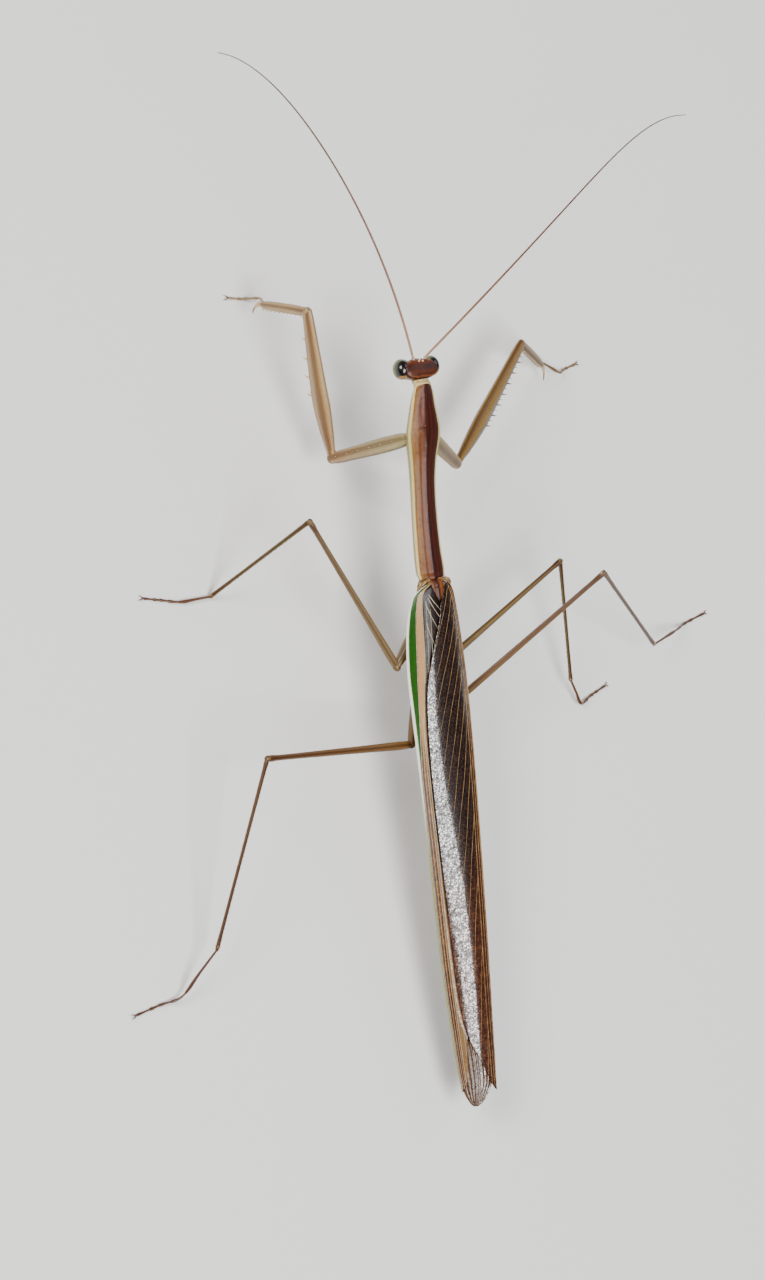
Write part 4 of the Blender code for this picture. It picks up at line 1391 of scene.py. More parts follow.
def leftVeins():
    rng = random.Random(5)
    main, fine = emptyNet(), emptyNet()
    for band, first, girth in ((1.0, 24.6, 0.03), (2.0, 24.8, 0.03), (2.35, 44.0, 0.02), (2.7, 40.0, 0.026),
                               (3.0, 24.8, 0.034), (3.45, 26.0, 0.024), (3.95, 27.0, 0.024)):
        line = edgeLine("left", band)
        addRuns(main, "left", [(line(s), s) for s in np.arange(first, 87.3, 0.4)], girth)
    for a, b, gap in ((2.35, 2.7, 0.6), (2.7, 3.0, 0.55), (3.0, 3.45, 0.42), (3.45, 3.95, 0.4)):
        first = 26.0 if a >= 3 else 44.0
        addLadder(fine, "left", edgeLine("left", a), edgeLine("left", b), first, 87.0, gap, 0.015, 0.15, rng)
    limit = edgeLine("left", 3.95)

    def shoulder(n):
        return lambda s: 2.7 - 0.42 * n - (0.55 + 0.04 * n) * (s - 26.0)

    def held(n):
        return lambda s: min(shoulder(n)(s), limit(s))

    for n in range(-14, 1):
        spots = [(shoulder(n)(s), s) for s in np.arange(25.4, 38.0, 0.2)]
        addRuns(fine, "left", [spot for spot in spots if spot[0] < limit(spot[1])], 0.018, 0.008, 0.2)
    for n in range(-14, 1):
        addLadder(fine, "left", held(n - 1), held(n), 25.4, 38.0, 0.42, 0.015, 0.2, rng)
    # white veins fan from the hinge across the shoulder, drawn out thin at their ends
    for (x, s), (farX, farS) in (((1.5, 25.2), (-0.02, 27.3)), ((1.62, 25.6), (0.12, 28.25)),
                                 ((1.95, 26.3), (0.6, 29.5)), ((2.05, 28.6), (1.18, 31.45))):
        spots = [(x + (farX - x) * t + 0.1 * sin(pi * t), s + (farS - s) * t) for t in evenly(19)]
        for run in clipped("left", spots, 0.0):
            addVein(main, "left", run, 0.054, 0.006, 0.7)
            for i, share in enumerate((0.3, 0.55, 0.75, 0.9, 1.0)):
                main["girth"][i - len(run)] *= share
    return main, fine


def makeCellGroup():
    # uneven wing cells: their borders, the tone of each, soft wrinkles, and a small slant of each
    tree, start, end = newGroup(
        "wing cells", "ShaderNodeTree", (("Vector", "Vector"), ("Cell Scale", "Float")),
        [(label, "Float") for label in ("Borders", "Tone", "Wrinkles", "Tilt")])
    net = {"Vector": start[0], "Scale": start[1], "Randomness": 0.85}
    edge = wire(tree, "ShaderNodeTexVoronoi", net, feature="DISTANCE_TO_EDGE")
    tones = put(tree, "ShaderNodeTexVoronoi", net, feature="F1").outputs
    away = vectorWork("SUBTRACT", start[0], tones["Position"])
    aim = vectorWork("SUBTRACT", tones["Color"], (0.5, 0.5, 0.5))
    slant = vectorWork("DOT_PRODUCT", away, aim, "Value")
    level = spread(edge, 0.0, 0.22, 0.0, 1.0, "SMOOTHSTEP")         # level again at its border
    feed(end, {0: spread(edge, 0.03, 0.17, 1.0, 0.0), 1: split(tones["Color"])[0],
               2: noise(start[0], 1.6, 6.0), 3: times(slant, level)})
    return tree


cellGroup = makeCellGroup()


def addCells(tree, where, scale):
    return put(tree, "ShaderNodeGroup", {0: where, 1: scale}, node_tree=cellGroup).outputs


def leftBands(tree, field, cells, s, band):
    # from the inside out: tan band, olive line, green and brown band, dotted line, white rim
    fine = noise(objectPlace(tree), 5200.0, 3.0)
    rear = between(s, 42.0, 200.0, 3.0)
    tan = blend(between(s, 45.0, 200.0, 4.0), blend(fine, (186, 148, 106), (214, 180, 138)),
                blend(cells["Tone"], (132, 92, 50), (188, 144, 88)))
    tan = blend(between(s, 72.0, 200.0, 6.0), tan, blend(cells["Tone"], (112, 66, 34), (158, 106, 60)))
    tan = paintOver(tan, [
        ((84, 50, 24), 0.8, between(band, 2.1, 2.24, 0.04), rear),
        ((84, 50, 24), 0.8, between(band, 2.52, 2.64, 0.04), rear),
        ((128, 122, 62), 0.7, between(band, 2.92, 3.06, 0.04)),
        ((66, 36, 18), 0.75, cells["Borders"], between(s, 44.0, 200.0, 5.0))])
    green = blend(fine, (26, 74, 10), (66, 124, 30))
    dots = between(noise(objectPlace(tree), 2600.0, 1.0), 0.4, 2.0, 0.06)
    white = blend(between(s, 52.0, 200.0, 7.0), (246, 250, 240), (168, 172, 118))
    return paintOver(field, [
        (tan, 1.0, between(band, -1.0, 3.02, 0.05)),
        ((170, 140, 96), 0.65, between(band, 2.9, 3.75, 0.25), between(s, 37.0, 200.0, 4.0)),   # speckled beside it
        ((118, 76, 40), 1.0, between(band, -1.0, 2.0, 0.05), between(s, 46.5, 200.0, 3.5)),
        (green, 1.0, between(band, -1.0, 1.97, 0.03), between(s, 20.0, 47.0, 3.5)),
        ((44, 30, 16), 0.9, between(band, 1.93, 2.1, 0.03), dots),
        (white, 1.0, between(band, -2.0, 0.94, 0.05))])


def rightBands(field, cells, s, band):
    brown = blend(cells["Tone"], (58, 30, 18), (104, 62, 36))
    pale = blend(between(s, 60.0, 200.0, 14.0), (190, 156, 104), (128, 80, 44))
    return paintOver(field, [
        (brown, 1.0, between(band, -1.0, 2.9, 0.1)), (pale, 1.0, between(band, -1.0, 1.0, 0.05))])


def wingMaterial(side):
    # silky brown membrane, dark maroon in front and rustier behind; the bands are leathery, not silky
    material, tree = newMaterial("forewing membrane " + side, 0.34, 1.0, 0.13, 0.16, 2.3)
    x, s, band = readSpot(tree)
    lean = joined(plus(x, times(s, -0.25)), times(s, 0.8))          # the cells lie along the slanting veins
    cells = addCells(tree, lean, 4.0)
    front = ramp(cells["Tone"], [(0.0, (26, 14, 10)), (0.5, (44, 25, 17)), (1.0, (70, 42, 28))])
    rear = ramp(cells["Tone"], [(0.0, (74, 38, 20)), (0.5, (104, 60, 30)), (1.0, (136, 88, 48))])
    field = blend(between(s, 62.0, 200.0, 9.0), front, rear)
    field = paintOver(field, [((28, 13, 8), 0.6, cells["Borders"])])
    # the net and the odd dull cell break up the silky gloss
    silk = times(minus(1.0, times(cells["Borders"], 0.95)), spread(cells["Tone"], 0.12, 0.55, 0.3, 1.0))
    patchy = spread(cells["Wrinkles"], 0.38, 0.52, 0.6, 1.0)
    if side == "left":
        field = leftBands(tree, field, cells, s, band)
        silky = between(band, 2.95, 50.0, 0.05)
        silk = times(silk, patchy, silky, spread(s, 34.0, 60.0, 0.05, 0.35))
    else:
        field = rightBands(field, cells, s, band)
        silky = between(band, 1.0, 50.0, 0.05)
        silk = times(silk, patchy, silky)
    height = plus(times(cells["Borders"], -0.25, silky), times(cells["Wrinkles"], 0.9),
                  times(cells["Tilt"], 9.0, silky))
    return finishMaterial(material, field, height, 0.45, 0.00004, **{"Coat Weight": plus(silk, 0.02)})


veinPale = shellMaterial("pale wing veins", (168, 132, 92), (206, 176, 132), 0.5, 0.0)
veinWhite = shellMaterial("white wing veins", (220, 206, 176), (242, 234, 214), 0.4, 0.2)
veinBrown = shellMaterial("brown wing veins", (74, 44, 28), (124, 82, 52), 0.6, 0.0)
for side, (main, fine), mainMaterial in (("left", leftVeins(), veinWhite), ("right", rightVeins(), veinPale)):
    addPiece(wingShape(side), "forewing_" + side, [wingMaterial(side)], "forewing", "tegmen_" + side)
    for label, net, material, sides in (("long_veins_", main, mainMaterial, 6), ("cross_veins_", fine, veinBrown, 4)):
        mesh = newMesh(label + side, net["points"], net["edges"], [], {"girth": net["girth"]})
        veins = runTree(label + side, mesh, veinTree, {"Sides": sides, "Thickness": mm, "Material": material})
        settle(veins, "forewing")
        print(label + side, len(veins.data.polygons))


hindwings = {
    # s, inner edge, outer edge
    "left": [(28.0, 0.3, 2.2), (32.0, 0.03, 3.3), (40.0, 0.03, 3.9), (60.0, 0.03, 3.0), (72.0, -0.1, 2.6),
             (78.0, -0.9, 2.35), (82.0, -1.6, 2.25), (84.2, -1.8, 2.25), (86.0, -1.62, 2.05), (87.3, -0.95, 1.75),
             (88.4, -0.1, 1.3), (88.8, 0.5, 0.95)],
    "right": [(28.0, -0.3, -2.2), (32.0, -0.03, -3.1), (40.0, -0.03, -3.6), (60.0, -0.03, -3.1),
              (72.0, 0.0, -2.8), (80.0, 0.3, -2.5), (83.5, 0.3, -2.1), (85.0, 0.2, -1.7), (86.0, 0.0, -1.3),
              (86.8, -0.3, -0.7)],
    "columns": 72,
    "steps": 150,
    "pleats": 9,
    "freeFrom": 81.0,       # behind this the fan lies flat and higher
}


def hindwingShape(side):
    # a pleated fan folded flat under the forewings; only its end shows past them
    rows = hindwings[side]
    first, last = rows[0][0], rows[-1][0]

    def ringAt(t):
        s = first + (last - first) * (1 - (1 - t) ** 1.3)
        inner, outer = smoothRead(rows, s)
        free = 1 / (1 + exp((hindwings["freeFrom"] - s) * 1.2))
        drop = 0.46 - 0.26 * free + (0.1 if side == "right" else 0.0)
        places = []
        mark = []
        for share in evenly(hindwings["columns"]):
            x = inner + (outer - inner) * share
            pleat = (0.09 - 0.072 * free) * sin(2 * pi * share * hindwings["pleats"])
            places.append((x, s, wingTop(x, s) - drop + pleat))
            mark.append((x, s, share))
        under = [bodyPoint(x, s, h - 0.06) for x, s, h in places]
        return [bodyPoint(*spot) for spot in places] + under[::-1], mark + mark[::-1]

    return loft(evenly(hindwings["steps"]), ringAt)


def hindwingMaterial():
    # smoky membrane with rows of dark cells towards the end
    material, tree = newMaterial("hindwing membrane", 0.3, 1.0, 0.16, 0.5, 2.0)
    x, s, share = readSpot(tree)
    cells = addCells(tree, joined(x, s), 3.3)
    pleats = work("SINE", times(share, 2 * pi * hindwings["pleats"]))
    steps = work("SINE", times(s, 2 * pi / 0.42))
    lines = between(pleats, 0.86, 2.0, 0.08)
    body = paintOver(blend(cells["Tone"], (70, 46, 32), (112, 78, 54)), [
        ((24, 16, 12), 1.0, between(pleats, -0.3, 0.55, 0.2), between(steps, -0.35, 2.0, 0.15),
         between(s, 81.6, 200.0, 0.5), between(share, 0.34, 0.86, 0.06)),
        ((46, 30, 20), 0.5, lines),
        ((176, 146, 110), 0.25, cells["Borders"])])
    silk = times(minus(1.0, times(cells["Borders"], 0.9)), spread(cells["Tone"], 0.2, 0.7, 0.15, 0.9),
                 minus(1.0, times(lines, 0.6)), spread(share, 0.4, 0.68, 1.0, 0.22, "SMOOTHSTEP"))
    height = plus(cells["Borders"], times(cells["Tilt"], 8.0))
    return finishMaterial(material, body, height, 0.35, 0.00003, **{"Coat Weight": silk})


hindMaterial = hindwingMaterial()
for side in ("left", "right"):
    addPiece(hindwingShape(side), "hindwing_fan_" + side, [hindMaterial], "hindwing", "hindwing_" + side)
print("wings built")


# legs
legs = {
    # coxa, femur, tibia, the first joint of the foot and the rest of it
    "lengths": {"fore": (11.3, 19.4, 8.0, 4.5, 3.8), "mid": (5.2, 22.2, 16.8, 4.2, 5.0),
                "hind": (7.25, 24.1, 24.3, 7.0, 6.2)},
    "roots": {"fore": (1.75, 6.3, -1.1), "mid": (1.3, 29.8, -3.0), "hind": (1.4, 36.6, -3.0)},
    "pose": {
        # heading and rise of each length in turn; the foot has a heading only
        ("fore", "left"): ((7.5, -69), (-75.5, 21.5), (-59, -71), (-149, -59), -9),
        ("fore", "right"): ((157, -38.5), (-134.5, -4), (157, -36), (163, -24), -166),
        ("mid", "left"): ((50, -6.5), (-59.5, 9.5), (43, -54), (1, -1), -13),
        ("mid", "right"): ((113, -21), (-153, 0), (102, -23), (124, -23), -160),
        ("hind", "left"): ((73.5, -8.5), (-4, 12), (76, -24), (50, -26), 10),
        ("hind", "right"): ((153, -37.5), (-141, 34.5), (149, -37), (-168, -25), -166),
    },
    "sole": 0.2,
}


def legJoints(leg, side):
    sign = 1 if side == "left" else -1
    x, s, h = legs["roots"][leg]
    spot = bodyPoint(sign * x, s, h)
    spots = [spot]
    lengths = legs["lengths"][leg]
    pose = legs["pose"][(leg, side)]
    for length, (around, rise) in zip(lengths[:4], pose[:4]):
        spot = spot + heading(around, rise) * length * mm
        spots.append(spot)
    drop = spot.z / mm - 0.22
    flat = sqrt(max(lengths[4] ** 2 - drop ** 2, 0.1))
    toe = spot + heading(pose[4], 0) * flat * mm
    toe.z = legs["sole"] * mm
    spots.append(toe)
    return spots


def ridges(*lobes):
    # lengthwise ridges: (angle in degrees, height, width in degrees)
    def section(angle, t):
        more = 1.0
        for where, height, width in lobes:
            gap = abs((degrees(angle) - where + 180) % 360 - 180)
            more += height * exp(-(gap / width) ** 2)
        return more
    return section


def addKnee(shape, spot, ahead, across, radii):
    # rounded cap over a joint
    up = ahead.cross(across).normalized()
    addBall(shape, spot, radii, (across, up, ahead), 20, 14)


feet = {
    # where one joint of a foot ends and the next one starts, and how thick each is
    "cuts": (0.0, 0.47, 0.63, 0.76, 0.85, 1.0),
    "thick": (0.2, 0.185, 0.18, 0.18, 0.15),
    "joint": ((0, 0.7, 0.75), (0.5, 0.85, 0.85), (0.85, 1.12, 1.05), (1, 0.85, 0.85)),
    "nail": [(0, 0.075, 0.085), (0.5, 0.06, 0.07), (1, 0.018, 0.022)],
    "pad": (0.155, 0.11, 0.2),
}


def addFoot(shape, leg, joints, across):
    # five short joints with pale pads, the last one with two hooked nails
    ankle, bend, toe = joints[3:6]
    above = Vector((0, 0, 1))
    start = ankle + (bend - ankle).normalized() * 0.1 * mm
    if leg == "fore":
        shin = (ankle - joints[2]).normalized()
        start = ankle - shin * 0.35 * mm + shin.cross(across) * 0.2 * mm
    landing = bend.lerp(toe, 0.45)
    landing.z = 0.24 * mm
    path = smoothPath([start, start.lerp(bend, 0.5), bend, landing, toe], 40)
    lengths = [0.0]
    for a, b in zip(path, path[1:]):
        lengths.append(lengths[-1] + (b - a).length)

    def at(share):
        want = share * lengths[-1]
        for i in range(len(path) - 1):
            if want <= lengths[i + 1]:
                return path[i].lerp(path[i + 1], (want - lengths[i]) / (lengths[i + 1] - lengths[i]))
        return path[-1]

    for n, (first, last, thick) in enumerate(zip(feet["cuts"], feet["cuts"][1:], feet["thick"])):
        points = [at(first + (last - first) * t) for t in evenly(8)]
        side = above.cross(points[-1] - points[0]).normalized()
        rows = [(t, thick * wide, thick * deep) for t, wide, deep in feet["joint"]]
        addTubeLimb(shape, points, rows, side, 3 + n / 5 * 0.99, 16, 20 if n == 0 else 10)
        if n == 4:
            break
        # pad under the far end of each joint but the last, pressed flat on the floor
        spot = at(last - 0.02) - above * 0.11 * mm
        spot.z = max(spot.z, 0.14 * mm)
        ahead = (points[-1] - points[-2]).normalized()
        before = len(shape["points"])
        addBall(shape, spot, feet["pad"], (side, ahead.cross(side).normalized(), ahead), 14, 10, 1)
        for point in shape["points"][before:]:
            point.z = max(point.z, 0.0)
    end = at(1.0)
    ahead = end - at(0.93)
    ahead.z = 0
    ahead.normalize()
    side = above.cross(ahead).normalized()
    for sign in (1, -1):
        points = [end, end + (ahead * 0.28 + side * sign * 0.16 + above * 0.06) * mm,
                  end + (ahead * 0.5 + side * sign * 0.26 - above * 0.02) * mm,
                  end + (ahead * 0.6 + side * sign * 0.28) * mm - above * (end.z - 0.03 * mm)]
        addTubeLimb(shape, smoothPath(points, 10), feet["nail"], side, 4.6, 10, 12, 2)


def addThorn(thorns, limb, t, angle, lift, lean, length, thick):
    # the angle runs round the limb from its across side, with the flexor side at 90 degrees
    point, out, ahead = limbPoint(limb, t, radians(angle), lift)
    thorns.append((point, (out + ahead * lean).normalized(), ahead, length, thick))


foreLeg = {
    "coxa": [(0, 0.62, 0.74), (0.06, 0.74, 0.88), (0.3, 0.8, 0.96), (0.75, 0.68, 0.82), (0.93, 0.66, 0.76),
             (1, 0.56, 0.62)],
    "trochanter": [(0, 0.44, 0.56), (0.5, 0.5, 0.62), (1, 0.46, 0.62, 0.08)],
    "femur": [(0, 0.4, 0.62, 0.02), (0.1, 0.58, 0.88, 0.1), (0.3, 0.74, 1.22, 0.22), (0.45, 0.72, 1.18, 0.24),
              (0.7, 0.62, 0.98, 0.16), (0.92, 0.54, 0.76, 0.04), (1, 0.48, 0.62, 0.0)],
    "tibia": [(0, 0.34, 0.42, 0.06), (0.08, 0.4, 0.54, 0.06), (0.3, 0.4, 0.6, 0.04), (0.8, 0.38, 0.56, 0.04),
              (1, 0.32, 0.42, 0.05)],
    "claw": [(0, 0.3, 0.38, 0.05), (0.15, 0.27, 0.34, 0.03), (0.5, 0.17, 0.22), (0.85, 0.08, 0.1),
             (1, 0.025, 0.03)],
    # t, degrees, lean, length, half thickness: four big thorns outside, four on the disc, two at the knee
    "thorns": [(0.4, 48, 0.5, 0.72, 0.14), (0.53, 48, 0.5, 0.86, 0.15), (0.66, 48, 0.5, 0.8, 0.15),
               (0.8, 48, 0.5, 0.62, 0.13), (0.28, 84, 0.5, 0.75, 0.12), (0.325, 100, 0.5, 1.05, 0.14),
               (0.375, 92, 0.5, 1.2, 0.15), (0.43, 100, 0.5, 0.6, 0.11), (0.955, 130, 0.7, 0.55, 0.12),
               (0.955, 50, 0.7, 0.55, 0.12)],
}


def buildFore(side):
    shape = newShape()
    dark = []
    pale = []
    joints = legJoints("fore", side)
    across = (joints[2] - joints[1]).cross(joints[3] - joints[2]).normalized()
    coxaAcross = (joints[1] - joints[0]).cross(joints[2] - joints[1]).normalized()
    along = (joints[2] - joints[1]).normalized()
    shin = (joints[3] - joints[2]).normalized()
    coxa = addTubeLimb(shape, joints[:2], foreLeg["coxa"], coxaAcross, 0.0, 40, 60, 0,
                       ridges((20, 0.16, 20), (160, 0.16, 20), (270, 0.12, 22), (90, -0.1, 30)))
    for i in range(11):
        size = (0.16, 0.09)[i % 2]
        for angle in (20, 160):
            addThorn(pale, coxa, 0.12 + 0.78 * i / 10, angle, -0.03, 0.4, size, size * 0.36)
    addKnee(shape, joints[1], along, coxaAcross, (0.6, 0.7, 0.72))
    # the femur is deep at a third, with a keel outside and a groove for the shin inside
    addTubeLimb(shape, [joints[1], joints[1] + along * 1.7 * mm], foreLeg["trochanter"], across, 0.95, 24, 12, 0,
                ridges((90, 0.05, 40)))
    femur = addTubeLimb(shape, [joints[1] + along * 0.9 * mm, joints[2]], foreLeg["femur"], across, 1.0, 48, 84, 0,
                        ridges((270, 0.06, 14), (90, -0.16, 20), (52, 0.12, 16), (128, 0.12, 16), (330, 0.04, 12),
                               (210, 0.04, 12)))
    addKnee(shape, joints[2], along, across, (0.5, 0.58, 0.56))
    # inner row: long and short thorns by turns
    for i in range(14):
        size = (0.72, 0.44)[i % 2]
        addThorn(dark, femur, 0.34 + 0.58 * i / 13, 128, -0.06, 0.35, size, size * 0.16)
    for t, angle, lean, length, thick in foreLeg["thorns"]:
        addThorn(pale, femur, t, angle, -0.06, lean, length, thick)
    # shin with a comb on both lower edges, drawn out into a claw
    tibia = addTubeLimb(shape, joints[2:4], foreLeg["tibia"], across, 2.0, 32, 48, 0,
                        ridges((50, 0.1, 16), (130, 0.1, 16), (90, -0.08, 20), (270, 0.05, 16)))
    for count, angle, base in ((13, 130, 0.42), (10, 50, 0.5)):
        for i in range(count):
            t = 0.14 + 0.8 * i / (count - 1)
            size = base * (0.6 + 0.7 * t)
            addThorn(pale, tibia, t, angle, -0.05, 1.0, size, size * 0.2)
    flexor = across.cross(shin)
    spots = [joints[3] - shin * 0.3 * mm, joints[3]]
    for i in range(10):
        a = radians(66 * (i + 0.5) / 10)
        spots.append(spots[-1] + (shin * cos(a) + flexor * sin(a)) * 2.9 / 10 * mm)
    addTubeLimb(shape, spots, foreLeg["claw"], across, 2.9, 24, 40, 3)
    addFoot(shape, "fore", joints, across)
    return shape, dark, pale


walkLeg = {
    # t, half width, half depth; the coxa and most of the femur are thinner on the middle legs
    "thin": {"mid": 0.94, "hind": 1.0},
    "coxa": ((0, 0.6, 0.66), (0.3, 0.8, 0.84), (0.7, 0.66, 0.7), (1, 0.46, 0.48)),
    "femurRoot": [(0, 0.34, 0.4), (0.03, 0.4, 0.47)],
    "femur": ((0.09, 0.42, 0.52), (0.3, 0.38, 0.45), (0.7, 0.31, 0.36), (0.93, 0.29, 0.33), (0.975, 0.34, 0.4),
              (1, 0.28, 0.34)),
    "tibia": [(0, 0.22, 0.26), (0.02, 0.27, 0.32), (0.06, 0.235, 0.26), (0.5, 0.205, 0.215), (0.9, 0.215, 0.225),
              (0.975, 0.25, 0.26), (1, 0.21, 0.22)],
}


def buildWalking(leg, side):
    shape = newShape()
    dark = []
    pale = []
    joints = legJoints(leg, side)
    across = (joints[2] - joints[1]).cross(joints[3] - joints[2]).normalized()
    along = (joints[2] - joints[1]).normalized()
    inward = (joints[0] - joints[1]).normalized() * 0.5 * mm

    def scaled(rows):
        return [(t, wide * walkLeg["thin"][leg], deep * walkLeg["thin"][leg]) for t, wide, deep in rows]

    addTubeLimb(shape, [joints[0] + inward, joints[1]], scaled(walkLeg["coxa"]), across, 0.0, 32, 32, 0,
                ridges((30, 0.08, 24), (200, 0.1, 24), (110, -0.08, 26)))
    addKnee(shape, joints[1], along, across, (0.46, 0.5, 0.62))
    femur = addTubeLimb(shape, joints[1:3], walkLeg["femurRoot"] + scaled(walkLeg["femur"]), across, 1.0, 28, 90, 0,
                        ridges((0, 0.06, 18), (180, 0.06, 18), (62, 0.07, 16), (118, 0.07, 16), (270, 0.08, 20)))
    # knee lobes on both sides and a short spur
    for sign in (1, -1):
        spot = joints[2] + across * sign * 0.17 * mm - along * 0.12 * mm
        addKnee(shape, spot, along, across, (0.17, 0.34, 0.42))
    addThorn(pale, femur, 0.985, 270, -0.05, 1 / 0.3, 0.42, 0.08)
    tibia = addTubeLimb(shape, joints[2:4], walkLeg["tibia"], across, 2.0, 20, 90, 0,
                        ridges((60, 0.08, 20), (120, 0.08, 20), (270, 0.08, 20)))
    # spurs at the end of the shin, small spines down both its lower edges
    for angle in (45, 135, 215, 325):
        addThorn(pale, tibia, 0.975, angle, -0.04, 1 / 0.55, 0.55 if angle < 180 else 0.34, 0.065)
    rng = random.Random(leg + side)
    for limb, first, last, count, size in ((tibia, 0.16, 0.95, 22, 0.22), (femur, 0.12, 0.92, 18, 0.14)):
        for i in range(count):
            t = first + (last - first) * (i + rng.uniform(-0.3, 0.3)) / (count - 1)
            for angle in (60, 120):
                addThorn(dark, limb, t, angle + rng.uniform(-8, 8), -0.02, 1.3, size * rng.uniform(0.8, 1.2), 0.026)
    addFoot(shape, leg, joints, across)
    hairs = []
    for limb, count, part, size in ((tibia, 260, "shin", 0.2), (femur, 200, "thigh", 0.16)):
        rng = random.Random(side + leg + part)
        for _ in range(count):
            addThorn(hairs, limb, rng.uniform(0.03, 0.97), degrees(rng.uniform(0, 2 * pi)), -0.005,
                     rng.uniform(0.5, 1.1), size * rng.uniform(0.7, 1.3), 0.0095)
    return shape, dark, pale, hairs


def legMaterial(name, stops, edgeTint, blotchTint, streak, dim, dull):
    # colours run down the leg by length: hip, thigh, shin, foot
    def tone(tint, share=1.0):
        level = sum(tint) / 3
        return tuple((level + (v - level) * dull) * dim * share for v in tint)

    material, tree = newMaterial(name, 0.38, 0.25, 0.16, 0.35)
    u, v = uvParts(tree)[:2]
    out = addGrain(tree, 9000.0, 800.0)
    body = ramp(times(v, 0.2), [(spot / 5, tone(tint)) for spot, tint in stops])
    lines = plus(work("SINE", times(u, pi * 8)), times(minus(out["Blotches"], 0.5), 0.5))
    body = paintOver(body, [
        (tone(edgeTint), streak, between(lines, 0.5, 3.0, 0.4)),
        (tone(blotchTint, 0.78), 0.6, between(lines, -3.0, -0.45, 0.35)),
        (tone(blotchTint), 0.3, out["Blotches"]),
        (tone(blotchTint, 0.6), 0.18, out["Pits"])])
    return finishMaterial(material, body, out["Height"], 0.5, 0.000018)


# the left grasping leg is painted paler and greyer than the right one, a painted highlight where light falls on it;
# the rest is the legs' own colour
foreTints = {
    "left": legMaterial("left grasping leg", [
        (0.0, (196, 184, 128)), (0.5, (200, 176, 122)), (0.95, (196, 146, 92)), (1.1, (190, 140, 86)),
        (1.5, (204, 164, 108)), (1.9, (196, 150, 98)), (2.0, (190, 146, 96)), (2.5, (216, 180, 128)),
        (3.0, (204, 168, 118)), (3.6, (206, 172, 126)), (5.0, (196, 152, 108))],
        (232, 210, 162), (150, 104, 58), 0.55, 0.96, 0.78),
    "right": legMaterial("right grasping leg", [
        (0.0, (182, 156, 98)), (0.6, (184, 148, 88)), (0.95, (172, 128, 66)), (1.1, (176, 132, 64)),
        (1.5, (180, 140, 66)), (1.9, (168, 124, 60)), (2.0, (170, 128, 70)), (2.5, (178, 142, 90)),
        (3.0, (176, 140, 96)), (3.6, (182, 150, 110)), (5.0, (172, 132, 94))],
        (214, 190, 126), (120, 84, 38), 0.5, 0.88, 0.92),
}
walkTints = {
    "mid": legMaterial("middle walking leg", [
        (0.0, (182, 158, 104)), (0.8, (178, 146, 92)), (1.05, (184, 150, 96)), (1.5, (172, 140, 86)),
        (1.88, (158, 122, 74)), (1.97, (132, 84, 46)), (2.05, (128, 84, 46)), (2.2, (138, 122, 68)),
        (2.7, (142, 118, 68)), (2.96, (138, 92, 54)), (3.0, (156, 98, 66)), (3.3, (160, 96, 66)),
        (4.0, (150, 84, 58)), (5.0, (120, 66, 44))],
        (204, 176, 120), (128, 90, 50), 0.35, 0.84, 0.86),
    "hind": legMaterial("hind walking leg", [
        (0.0, (184, 154, 100)), (0.8, (180, 140, 86)), (1.05, (182, 138, 84)), (1.5, (168, 122, 70)),
        (1.88, (152, 104, 58)), (1.97, (140, 86, 48)), (2.05, (136, 88, 48)), (2.2, (146, 104, 60)),
        (2.7, (136, 92, 54)), (2.96, (128, 80, 48)), (3.0, (146, 90, 60)), (3.3, (150, 88, 62)),
        (4.0, (142, 82, 58)), (5.0, (118, 66, 46))],
        (200, 164, 108), (118, 76, 42), 0.32, 0.84, 0.88),
}
padMaterial = shellMaterial("foot pads", (206, 190, 162), (238, 228, 208), 0.55, 0.1)
nailMaterial = shellMaterial("foot nails", (92, 50, 30), (140, 84, 54), 0.3, 0.5)
clawMaterial, clawTree = newMaterial("grasping claw", 0.26, 0.6, 0.1)
finishMaterial(clawMaterial, ramp(spread(uvParts(clawTree)[1], 2.9, 3.9), [
    (0.0, (212, 176, 126)), (0.55, (222, 196, 150)), (0.85, (120, 62, 34)), (1.0, (52, 24, 14))]))

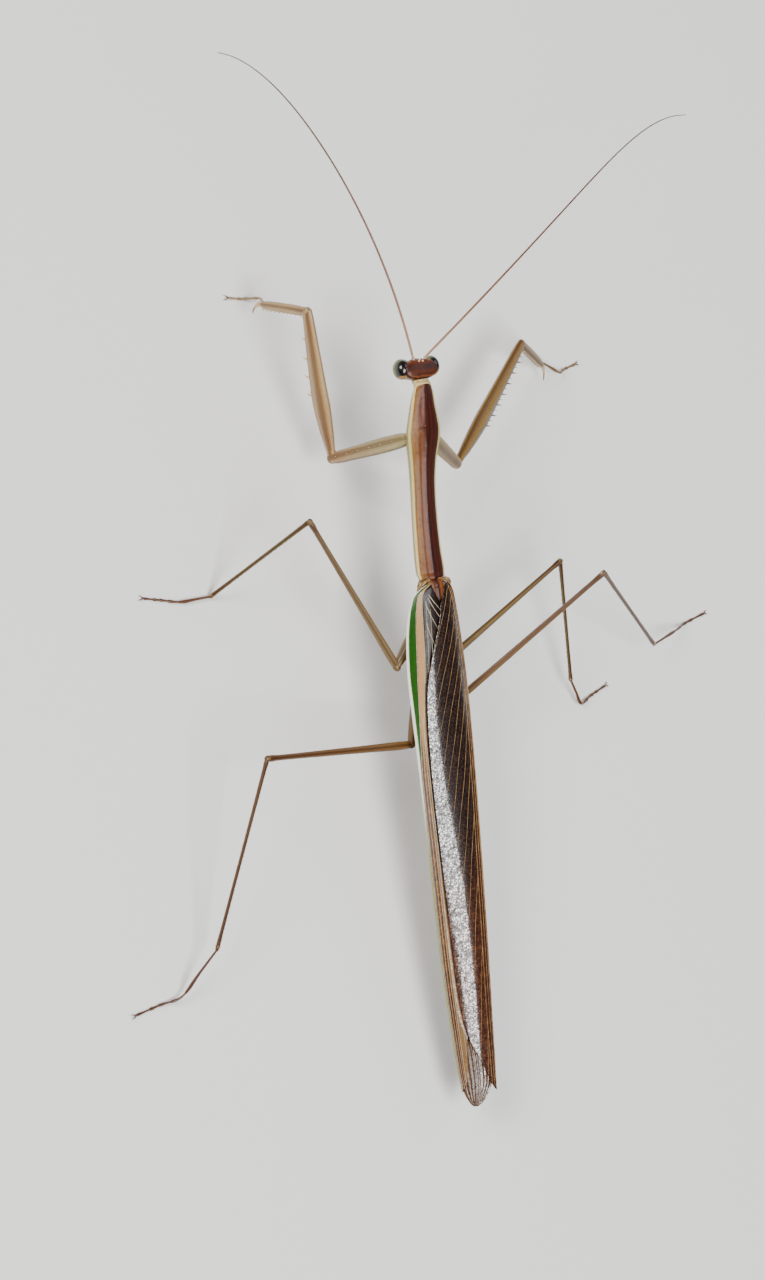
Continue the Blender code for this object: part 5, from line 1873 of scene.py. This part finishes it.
for side in ("left", "right"):
    shape, dark, pale = buildFore(side)
    nodes = ["fore_%s_%s" % (part, side) for part in ("coxa", "femur", "tibia", "tarsus")]
    skins = [foreTints[side], padMaterial, nailMaterial, clawMaterial]
    addPiece(shape, "fore_leg_" + side, skins, "foreleg", *nodes)
    addSpines("fore_thorns_dark_" + side, dark, thornDark, "foreleg", 8, 5, 0.08, 1.2)
    addSpines("fore_thorns_pale_" + side, pale, thornPale, "foreleg", 8, 5, 0.1, 1.2)
    for leg in ("mid", "hind"):
        shape, dark, pale, hairs = buildWalking(leg, side)
        nodes = ["%s_%s_%s" % (leg, part, side) for part in ("coxa", "femur", "tibia", "tarsus")]
        skins = [walkTints[leg], padMaterial, nailMaterial]
        addPiece(shape, "%s_leg_%s" % (leg, side), skins, "walking_leg", *nodes)
        addSpines("%s_spines_%s" % (leg, side), dark, thornDark, "walking_leg", 5, 2, 0.15)
        addSpines("%s_spurs_%s" % (leg, side), pale, thornPale, "walking_leg", 7, 4, 0.1, 0.8)
        addSpines("%s_hairs_%s" % (leg, side), hairs, hairMaterial, "walking_leg", 4, 1, 0.2)
print("legs built")


# floor, light and camera
def plainFloor(reach):
    corners = [(-reach, -reach, 0), (reach, -reach, 0), (reach, reach, 0), (-reach, reach, 0)]
    mesh = newMesh("floor", corners, [], [(0, 1, 2, 3)], {})
    material, tree = newMaterial("pale floor", 0.85)
    feed(tree.nodes["Principled BSDF"], {"Base Color": (0.8, 0.795, 0.78, 1)})
    mesh.materials.append(material)
    addObject("floor", mesh)


def areaLight(name, spot, target, size, power, tint=(1, 1, 1)):
    light = bpy.data.lights.new(name, "AREA")
    light.shape = "RECTANGLE"
    light.size, light.size_y = size
    light.energy = power
    light.color = tint
    item = addObject(name, light)
    item.location = spot
    item.rotation_euler = (Vector(target) - Vector(spot)).to_track_quat("-Z", "Y").to_euler()


plainFloor(1.6)
world = bpy.data.worlds.new("pale room")
world.use_nodes = True
feed(world.node_tree.nodes["Background"], {0: (0.86, 0.88, 0.92, 1), 1: 0.18})
bpy.context.scene.world = world
areaLight("key", (0.6, -0.3, 0.5), (0, 0, 0.01), (0.3, 0.3), 6.0, (1.0, 0.97, 0.93))
areaLight("sheen", (0.07, 0.19, 0.6), (0, 0.01, 0.015), (0.26, 0.36), 5.0)
areaLight("fill", (-0.5, -0.3, 0.6), (0, 0, 0.01), (0.5, 0.5), 1.4, (0.94, 0.97, 1.0))

camera = bpy.data.cameras.new("camera")
camera.lens = 113.27
camera.sensor_width = 36
camera.sensor_height = 36
camera.sensor_fit = "VERTICAL"
camera.clip_start = 0.01
camera.clip_end = 10
eyePoint = addObject("camera", camera)
back = Vector((0.5435, 0, 0.8394)).normalized()
up = back.cross(Vector((-0.8276, 0.167, 0.5359))).normalized()
right = up.cross(back).normalized()
eyePoint.matrix_world = Matrix((right, up, back)).transposed().to_4x4()
eyePoint.location = Vector((275.121, 5.694, 419.7)) * mm
bpy.context.scene.camera = eyePoint

print("stage set")
